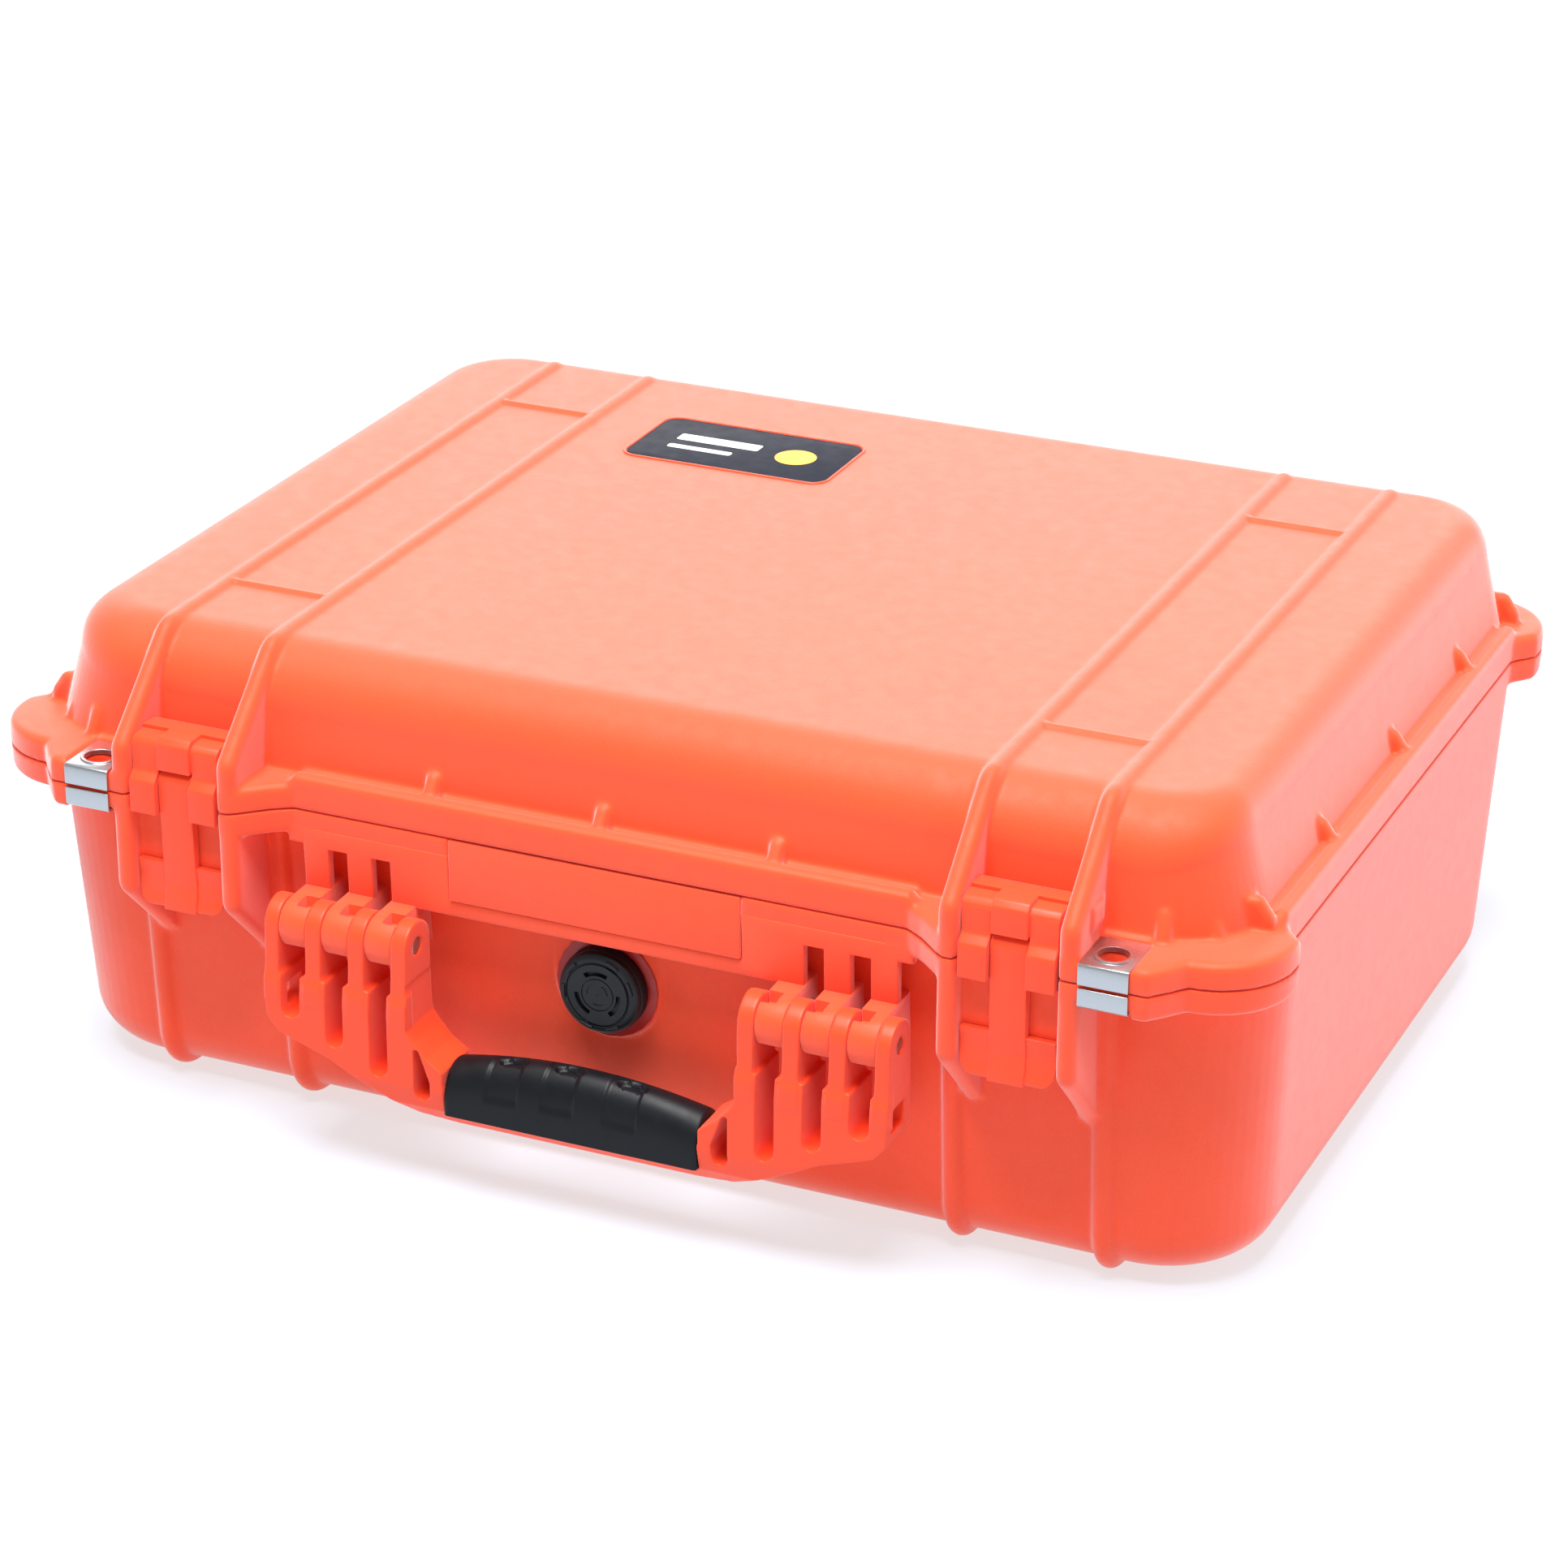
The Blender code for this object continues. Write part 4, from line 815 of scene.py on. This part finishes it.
def handle_frame(material):
    """The handle: the CAD's form with fuller finger crowns and shoulders, all edges softened."""
    parts = [from_cad("frame", "handle_frame")]
    y, z = HANDLE_AXIS
    fingers = ((0.0648, 0.0711), (0.0821, 0.0885), (0.0997, 0.1060), (0.1170, 0.1225))
    for side in (-1, 1):
        for xs in fingers:
            lo, hi = mirrored((xs[0] + 0.0001, xs[1] - 0.0001), side)
            crown = arc(HANDLE_AXIS, 0.0096, 0, 180, 28)
            crown += [(y - 0.0100, z - 0.0120), (y + 0.0090, z - 0.0120)]
            finger = prism("finger", crown, "x", lo, hi)
            cut(finger, rod("bore", HANDLE_AXIS, (lo - 0.001, hi + 0.001), 0.0033))
            parts.append(finger)
            shoulder = [(y - 0.0117, 0.0735), (y - 0.0100, 0.0775), (y - 0.0060, 0.0775)]
            shoulder += [(y - 0.0060, 0.0640), (y - 0.0117, 0.0660)]
            parts.append(prism("shoulder", shoulder, "x", lo - 0.0004, hi + 0.0004))
    handle = mould("handle_moulding", parts, 0.00045, 5, 150_000)
    return place(handle, "handle", "handle_plastic", material, "handle_frame")


GRIP_HALF = 0.0500
GRIP_PANELS = (-0.0275, -0.0052, 0.0195)
GRIP_PANEL_HALF = 0.0064


def ease(value, edge, width):
    """1 below the edge, 0 above it, smooth over the width."""
    t = min(max((edge + width / 2 - value) / width, 0.0), 1.0)
    return t * t * (3 - 2 * t)


def grip_depth(x, share):
    """How far the grip's skin lies in at a place along it and a share of the way from back to front."""
    depth = 0.0
    for middle in GRIP_PANELS:
        across = ease(abs(x - middle), GRIP_PANEL_HALF, 0.0006)
        along = ease(share, 0.90, 0.02) * ease(0.42 - share, 0.0, 0.02)
        depth = max(depth, 0.0007 * across * along)
        oval = math.hypot((x - middle - 0.0015) / 0.0058, (share - 0.53) / 0.085)
        depth = max(depth, 0.0026 * ease(oval, 0.95, 0.35))
    return depth


def handle_grip(material):
    """The soft grip: a saddle over the bar, arched to its middle, with finger panels and dimples."""
    rings = []
    sections = 168
    around = 60
    front, back = -0.2003, -0.1785
    for i in range(sections + 1):
        x = GRIP_HALF * (2 * i / sections - 1)
        end = min(1.0, (GRIP_HALF - abs(x)) / 0.0008)
        edge = 0.0006 * (1 - end)
        top = 0.0522 + 0.0058 * (1 - (x / GRIP_HALF) ** 2) - edge
        low = 0.0336
        centre = (front + back) / 2
        half = (back - front) / 2 - edge
        ring = []
        for k in range(around + 1):
            angle = math.pi * k / around
            lift = math.sin(angle) ** 0.7
            point = Vector((centre + half * math.cos(angle), low + (top - low) * lift))
            inward = Vector((centre, low + (top - low) * 0.35)) - point
            if 0 < k < around:
                point += inward.normalized() * grip_depth(x, k / around)
            ring.append((point.x, point.y))
        ring += [(-0.1963, low), (-0.1963, 0.0443), (-0.1825, 0.0443), (-0.1825, low)]
        rings.append(in_space(ring, "x", x))
    grip = loft("grip_rubber_cover", rings)
    return place(shaded(grip, 55), "handle", "grip_rubber", material, "handle_grip")


def hook_pieces(x, word, material):
    """The upper half of a latch: body, top plate, centre stem and the two ears beside the lever."""
    half = LATCH_WIDTH / 2
    strip = STRIP_WIDTH / 2
    core = [(-0.1712, 0.1468), (-0.1712, 0.1546), (-0.1800, 0.1555), (-0.1880, 0.1552), (-0.1900, 0.1530)]
    core += [(-0.1900, 0.1446), (-0.1850, 0.1446), (-0.1790, 0.1468)]
    core = bend(core, [0, 0.002, 0.003, 0.0025, 0.0008, 0], 6)
    bar = [(-0.1718, 0.1500), (-0.1718, 0.1555), (-0.1755, 0.1568), (-0.1818, 0.1568), (-0.1818, 0.1500)]
    stem = [(-0.1790, 0.1500), (-0.1790, 0.1568), (-0.1892, 0.1566), (-0.1914, 0.1542), (-0.1914, 0.1440)]
    stem = bend(stem + [(-0.1860, 0.1440), (-0.1860, 0.1500)], [0, 0.0015, 0.002, 0.0005, 0], 6)
    cheek = [(-0.1869, 0.1332), (-0.1869, 0.1265), (-0.1935, 0.1265), (-0.1935, 0.1392), (-0.1901, 0.1428)]
    cheek += [(-0.1901, 0.1525), (-0.1843, 0.1525), (-0.1843, 0.1332)]
    cheek = bend(cheek, [0, 0.0006, 0.0025, 0.0030, 0, 0], 6)
    edge = half - 0.0001
    ear = strip + GAP
    spans = [("core", core, -half, half), ("bar", bar, -edge, edge), ("stem", stem, -strip, strip)]
    spans += [("ear_a", cheek, -edge, -ear), ("ear_b", cheek, ear, edge)]
    for name, outline, low, high in spans:
        piece = prism(f"hook_{name}_{word}", outline, "x", x + low, x + high)
        if name in ("core", "bar", "stem"):
            cut(piece, rod("bore", HOOK_AXIS, (x - 0.0200, x + 0.0200), 0.0018))
        nodes = [f"latch_hook_{word}"] if name == "core" else []
        place(bevelled(piece, 0.0004, 3, 40), f"hook_{word}", "latch_plastic", material, *nodes)


def lever_pieces(x, word, material):
    """The lower half of a latch: a strip and the wide flared grip behind it."""
    half = LATCH_WIDTH / 2 - GAP
    strip = STRIP_WIDTH / 2
    profile = arc(LEVER_AXIS, 0.0043, 0, 180, 20)
    profile += bend(
        [(-0.1911, 0.1300), (-0.1907, 0.1180), (-0.1905, 0.1070), (-0.1896, 0.0985), (-0.1916, 0.0884)],
        [0.004, 0.004, 0.006],
        6,
    )
    profile += [(-0.1874, 0.0884), (-0.1869, 0.0930), (-0.1869, 0.1335)]
    lever = prism(f"lever_strip_{word}", profile, "x", x - strip, x + strip)
    place(bevelled(lever, 0.0005, 3, 40), f"lever_{word}", "latch_plastic", material, f"latch_lever_{word}")
    flare = [(-0.1871, 0.1065), (-0.1899, 0.1066), (-0.1889, 0.1000), (-0.1894, 0.0940), (-0.1911, 0.0890)]
    flare = bend(flare + [(-0.1877, 0.0890), (-0.1871, 0.0940)], [0.0005, 0.010, 0.008, 0.0008, 0], 8)
    grip = prism(f"lever_grip_{word}", flare, "x", x - half, x + half)
    shape = [(x - half, 0.1100), (x - half, 0.0886), (x + half, 0.0886), (x + half, 0.1100)]
    shape = rounded(shape, [0, 0.0070, 0.0070, 0], 12)
    combine(grip, prism("grip_shape", shape, "y", PAST_FRONT, -0.1800), "INTERSECT")
    place(bevelled(grip, 0.0004, 3, 40), f"lever_{word}", "latch_plastic", material)


def latch_parts(material):
    """Both latches."""
    for side, word in ((-1, "left"), (1, "right")):
        hook_pieces(side * LATCH_X, word, material)
        lever_pieces(side * LATCH_X, word, material)


def arc_bar(name, radii, degrees, ys, steps=24):
    """A curved bar about the valve's axis."""
    centre = (0.0, VALVE_Z)
    outline = arc(centre, radii[1], degrees[0], degrees[1], steps)
    outline += arc(centre, radii[0], degrees[1], degrees[0], steps)
    return prism(name, outline, "y", ys[0], ys[1])


def turned(name, profile, steps=96):
    """A ring or disc turned about the valve's axis from a closed profile of (radius, y)."""
    rings = []
    for i in range(steps):
        angle = 2 * math.pi * i / steps
        rings.append([(r * math.cos(angle), y, VALVE_Z + r * math.sin(angle)) for r, y in profile])
    return loft(name, rings, closed=True)


def valve(material, dark):
    """Body and cap of the pressure valve, with vent slots, turning ribs and painted shade behind the slots.
    """
    body = [(0.0040, -0.1520), (0.0040, -0.1700), (0.0090, -0.1700), (0.0090, -0.1722), (0.0154, -0.1722)]
    body += [(0.0160, -0.1720), (0.0163, -0.1715), (0.0163, -0.1679), (0.0131, -0.1679), (0.0131, -0.1689)]
    body += [(0.0109, -0.1689), (0.0109, -0.1679), (0.0090, -0.1679), (0.0090, -0.1520)]
    ring = turned("valve_collar", body)
    place(shaded(ring, 40), "case", "valve_black", material, "valve_body")
    disc = [(0.0002, -0.1725), (0.0158, -0.1725), (0.0158, -0.1739), (0.0154, -0.1745), (0.0136, -0.1753)]
    disc += [(0.0126, -0.1753), (0.0123, -0.1749), (0.0120, -0.1749), (0.0117, -0.1756), (0.0002, -0.1756)]
    cap = turned("valve_lid", disc)
    for middle in (95, 215, 335):
        cut(cap, arc_bar("slot", (0.0074, 0.0092), (middle - 32, middle + 32), (-0.1800, -0.1740)))
    groove = [(0.0060, -0.1800), (0.0064, -0.1800), (0.0064, -0.1751), (0.0060, -0.1751)]
    cut(cap, turned("groove", groove))
    for middle in (35, 155, 275):
        cut(cap, arc_bar("mark", (0.0038, 0.0042), (middle - 30, middle + 30), (-0.1800, -0.1753)))
    cap = bevelled(cap, 0.00018, 2, 35)
    place(cap, "case", "valve_black", material, "valve_cap")
    for k, middle in enumerate((20, 65, 140, 185, 250, 295)):
        bar = arc_bar(f"valve_rib_{k}", (0.0130, 0.0142), (middle - 11, middle + 11), (-0.1760, -0.1745))
        place(bevelled(bar, 0.0002), "case", "valve_black", material)
    # A near-black disc just behind the vent slots: painted shade seen through them.
    slab = [(0.0002, -0.1722), (0.0100, -0.1722), (0.0100, -0.1724), (0.0002, -0.1724)]
    place(turned("valve_slot_shade", slab), "case", "valve_black", dark)


def small_parts(looks):
    """Plates, pins, badge, nameplate, seal and label: the CAD's forms with their edges rounded."""
    for side, word in ((-1, "left"), (1, "right")):
        for level, body in (("upper", "lid"), ("lower", "case")):
            node = f"padlock_plate_{level}_{word}"
            plate = bevelled(from_cad(f"plate_{level}_{word}", node), 0.00028, 3, 40)
            place(plate, body, "plate_steel", looks["plate"], node)
        # A dark red ring in each padlock hole is painted shade on the hole's wall.
        place(padlock_hole_shade(word, side), "case", "label_red", looks["red"])
        carriers = {"hook": "lid", "lever": f"hook_{word}", "hinge": "case", "handle": "case"}
        for kind, body in carriers.items():
            node = f"{kind}_pin_{word}"
            pin = bevelled(from_cad(f"{kind}_axle_{word}", node), 0.0003, 2, 40)
            place(pin, body, "pin_steel", looks["pin"], node)
    plate = bevelled(from_cad("blank_plate", "nameplate"), 0.0003, 3)
    place(plate, "case", "base_plastic", looks["shell"], "nameplate")
    plate = bevelled(from_cad("badge_plate", "badge"), 0.00015, 2)
    place(plate, "lid", "badge_dark", looks["badge"], "badge")
    cord = from_cad("seal_cord", "lid_gasket")
    cord.data.shade_smooth()
    place(cord, "lid", "seal_rubber", looks["rubber"], "lid_gasket")
    for node, slot_name, look in (
        ("valve_seal", "seal_rubber", "rubber"),
        ("valve_nut", "valve_black", "valve"),
        ("valve_membrane", "membrane_white", "membrane"),
        ("valve_label", "label_red", "red"),
    ):
        obj = bevelled(from_cad(f"{node}_part", node), 0.0001, 2, 40)
        place(obj, "case", slot_name, looks[look], node)


def badge_design(looks):
    """A plain disc and bars printed on the badge, standing for no maker."""
    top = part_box("badge")[1][2]
    disc = prism("badge_disc", circle((-0.0450, 0.1000), 0.0085, 48), "z", top - 0.0001, top + 0.00008)
    place(disc, "lid", "badge_dark", looks["mark"])
    bars = (((-0.098, -0.062), (0.1000, 0.1070)), ((-0.098, -0.070), (0.0905, 0.0945)))
    for k, (xs, ys) in enumerate(bars):
        outline = [(xs[0], ys[0]), (xs[1], ys[0]), (xs[1], ys[1]), (xs[0], ys[1])]
        bar = prism(f"badge_bar_{k}", rounded(outline, [0.0012] * 4, 5), "z", top - 0.0001, top + 0.00008)
        place(bar, "lid", "badge_dark", looks["bar"])


def padlock_hole_shade(word, side):
    """A dark red ring in the padlock hole: painted shade on the hole's wall, seen through the plates."""
    hole = (side * PADLOCK_HOLE[0], PADLOCK_HOLE[1])
    outer = circle(hole, PADLOCK_R + 0.0007, 40)
    inner = circle(hole, PADLOCK_R + 0.0001, 40)
    rings = [in_space(inner, "z", 0.1240), in_space(outer, "z", 0.1240)]
    rings += [in_space(outer, "z", 0.1322), in_space(inner, "z", 0.1322)]
    shade_ring = loft(f"hole_shade_{word}", rings, closed=True)
    shade_ring.data.shade_smooth()
    return shade_ring


# ---------------------------------------------------------------- materials


def new_material(name, colour, roughness, metallic=0.0):
    """A node material with the numbers of its Principled shader set."""
    made = bpy.data.materials.new(name)
    made.use_nodes = True
    tree = made.node_tree
    shader = tree.nodes["Principled BSDF"]
    shader.inputs["Base Color"].default_value = (*colour, 1.0)
    shader.inputs["Roughness"].default_value = roughness
    shader.inputs["Metallic"].default_value = metallic
    return made, tree, shader


def noise(tree, place_node, scale, detail=3.0, rough=0.5):
    """Noise in the object's own coordinates."""
    node = tree.nodes.new("ShaderNodeTexNoise")
    node.inputs["Scale"].default_value = scale
    node.inputs["Detail"].default_value = detail
    node.inputs["Roughness"].default_value = rough
    tree.links.new(place_node.outputs["Object"], node.inputs["Vector"])
    return node


def ramp(tree, source, low, high):
    """The middle of a noise's range spread from low to high."""
    node = tree.nodes.new("ShaderNodeMapRange")
    node.inputs["From Min"].default_value = 0.3
    node.inputs["From Max"].default_value = 0.7
    node.inputs["To Min"].default_value = low
    node.inputs["To Max"].default_value = high
    tree.links.new(source, node.inputs["Value"])
    return node


def plastic(name, colour, roughness, grain, grain_height, variation=0.05, haze=0.0, specular=0.5):
    """Moulded plastic: fine grain, cloudy variation of colour and gloss."""
    made, tree, shader = new_material(name, colour, roughness)
    shader.inputs["Specular IOR Level"].default_value = specular
    shader.inputs["Sheen Weight"].default_value = haze
    shader.inputs["Sheen Roughness"].default_value = 0.45
    where = tree.nodes.new("ShaderNodeTexCoord")
    cloud = noise(tree, where, 14.0, 4.0)
    fine = noise(tree, where, grain, 4.0, 0.6)
    mottle = noise(tree, where, 160.0, 3.0)
    mix = tree.nodes.new("ShaderNodeMix")
    mix.data_type = "RGBA"
    mix.blend_type = "MULTIPLY"
    mix.inputs[0].default_value = 1.0
    mix.inputs[6].default_value = (*colour, 1.0)
    grey = ramp(tree, cloud.outputs["Fac"], 1.0 - variation, 1.0)
    speck = ramp(tree, fine.outputs["Fac"], 0.93, 1.03)
    both = tree.nodes.new("ShaderNodeMath")
    both.operation = "MULTIPLY"
    tree.links.new(grey.outputs["Result"], both.inputs[0])
    tree.links.new(speck.outputs["Result"], both.inputs[1])
    tree.links.new(both.outputs["Value"], mix.inputs[7])
    tree.links.new(mix.outputs[2], shader.inputs["Base Color"])
    gloss = ramp(tree, mottle.outputs["Fac"], roughness - 0.05, roughness + 0.06)
    tree.links.new(gloss.outputs["Result"], shader.inputs["Roughness"])
    bump = tree.nodes.new("ShaderNodeBump")
    bump.inputs["Strength"].default_value = 1.0
    bump.inputs["Distance"].default_value = grain_height
    tree.links.new(fine.outputs["Fac"], bump.inputs["Height"])
    tree.links.new(bump.outputs["Normal"], shader.inputs["Normal"])
    return made


def steel(name, roughness):
    """Satin stainless steel: fine drawn lines along X and small changes of gloss."""
    made, tree, shader = new_material(name, (0.46, 0.475, 0.49), roughness, 1.0)
    where = tree.nodes.new("ShaderNodeTexCoord")
    stretch = tree.nodes.new("ShaderNodeMapping")
    stretch.inputs["Scale"].default_value = (0.06, 1.0, 1.0)
    tree.links.new(where.outputs["Object"], stretch.inputs["Vector"])
    lines = tree.nodes.new("ShaderNodeTexNoise")
    lines.inputs["Scale"].default_value = 9000.0
    lines.inputs["Detail"].default_value = 3.0
    tree.links.new(stretch.outputs["Vector"], lines.inputs["Vector"])
    gloss = ramp(tree, lines.outputs["Fac"], roughness - 0.06, roughness + 0.12)
    tree.links.new(gloss.outputs["Result"], shader.inputs["Roughness"])
    bump = tree.nodes.new("ShaderNodeBump")
    bump.inputs["Distance"].default_value = 0.00001
    tree.links.new(lines.outputs["Fac"], bump.inputs["Height"])
    tree.links.new(bump.outputs["Normal"], shader.inputs["Normal"])
    return made


ORANGE = (0.98, 0.068, 0.010)
looks = {
    "shell": plastic("shell_plastic", ORANGE, 0.56, 1700.0, 0.00010, 0.04, 0.58, 0.36),
    "smooth": plastic("smooth_plastic", (0.95, 0.064, 0.015), 0.42, 2600.0, 0.00004, 0.04, 0.2, 0.3),
    "rubber": plastic("seal_rubber", (0.012, 0.012, 0.014), 0.7, 1500.0, 0.00005, 0.2),
    "grip": plastic("grip_rubber", (0.005, 0.006, 0.008), 0.42, 2200.0, 0.00003, 0.2, 0.0, 0.2),
    "valve": plastic("valve_black", (0.006, 0.007, 0.009), 0.4, 2400.0, 0.00002, 0.2, 0.0, 0.3),
    # Near-black for the disc behind the valve's vent slots: painted shade.
    "slot": plastic("slot_shade_black", (0.003, 0.003, 0.004), 0.6, 2400.0, 0.00002, 0.2),
    "badge": plastic("badge_dark", (0.020, 0.022, 0.033), 0.62, 2800.0, 0.00003, 0.15, 0.0, 0.08),
    "mark": plastic("badge_mark", (0.85, 0.42, 0.04), 0.5, 2800.0, 0.00002, 0.1, 0.0, 0.3),
    "bar": plastic("badge_bar", (0.60, 0.60, 0.62), 0.5, 2800.0, 0.00002, 0.1, 0.0, 0.3),
    # The valve label's own red, also used as painted shade inside the padlock holes.
    "red": plastic("label_red", (0.42, 0.010, 0.006), 0.4, 2400.0, 0.00002, 0.15),
    "membrane": plastic("membrane_white", (0.75, 0.75, 0.72), 0.85, 3000.0, 0.00005, 0.1),
    "plate": steel("plate_steel", 0.32),
    "pin": steel("pin_steel", 0.34),
}

base_shell(looks["shell"])
lid_shell(looks["shell"])
badge_rim(looks["smooth"])
handle_frame(looks["smooth"])
handle_grip(looks["grip"])
latch_parts(looks["smooth"])
handle_knuckles(looks["shell"])
apron(looks["shell"])
seal_tongue(looks["shell"])
valve(looks["valve"], looks["slot"])
small_parts(looks)
badge_design(looks)

# ---------------------------------------------------------------- stage


def make_floor():
    """A pale floor that glows a little, so that only the case's own shadow darkens it."""
    size = 14.0
    corners = [(-size, -size, 0), (size, -size, 0), (size, size, 0), (-size, size, 0)]
    floor = mesh_object("floor", corners, [(0, 1, 2, 3)])
    made, _, shader = new_material("floor_paper", (0.24, 0.29, 0.35), 0.9)
    shader.inputs["Specular IOR Level"].default_value = 0.0
    shader.inputs["Emission Color"].default_value = (1.0, 1.0, 1.0, 1.0)
    shader.inputs["Emission Strength"].default_value = 0.66
    floor.data.materials.append(made)


def area_light(name, location, target, size, power):
    """A soft white panel that faces its target."""
    data = bpy.data.lights.new(name, "AREA")
    data.shape = "RECTANGLE"
    data.size = size[0]
    data.size_y = size[1]
    data.energy = power
    lamp = bpy.data.objects.new(name, data)
    lamp.location = location
    lamp.rotation_euler = (Vector(target) - Vector(location)).to_track_quat("-Z", "Y").to_euler()
    bpy.context.scene.collection.objects.link(lamp)


def make_lights():
    """A wide panel behind the case for the haze on its top, one overhead and one to the right."""
    area_light("backdrop", (-1.3, 3.0, 1.5), (0, 0, 0.1), (4.0, 2.4), 94)
    area_light("overhead", (0.05, -0.6, 2.3), (0, 0, 0), (1.3, 1.3), 110)
    area_light("right", (2.6, 1.2, 1.0), (0, 0, 0.1), (2.4, 1.8), 30)
    world = bpy.data.worlds.new("studio")
    world.use_nodes = True
    world.node_tree.nodes["Background"].inputs["Color"].default_value = (1.0, 1.0, 1.0, 1.0)
    world.node_tree.nodes["Background"].inputs["Strength"].default_value = 0.44
    bpy.context.scene.world = world


def make_camera():
    """A long lens looking down at the case from its front right."""
    azimuth = math.radians(23.6439)
    elevation = math.radians(24.0947)
    roll = math.radians(0.4006)
    level = math.cos(elevation)
    back = Vector((math.sin(azimuth) * level, -math.cos(azimuth) * level, math.sin(elevation)))
    right = Vector((math.cos(azimuth), math.sin(azimuth), 0.0))
    up = back.cross(right)
    tilted_right = right * math.cos(roll) + up * math.sin(roll)
    tilted_up = up * math.cos(roll) - right * math.sin(roll)
    data = bpy.data.cameras.new("camera")
    data.sensor_width = 36.0
    data.lens = 105.1
    data.shift_x = -0.0078
    data.shift_y = -0.0043
    data.clip_end = 50.0
    camera = bpy.data.objects.new("camera", data)
    turned = Matrix((tilted_right, tilted_up, back)).transposed().to_4x4()
    turned.translation = Vector((0.0, 0.0, 0.0949)) + back * 1.77366
    camera.matrix_world = turned
    bpy.context.scene.collection.objects.link(camera)
    bpy.context.scene.camera = camera


make_floor()
make_lights()
make_camera()
bpy.context.scene.view_settings.view_transform = "Standard"
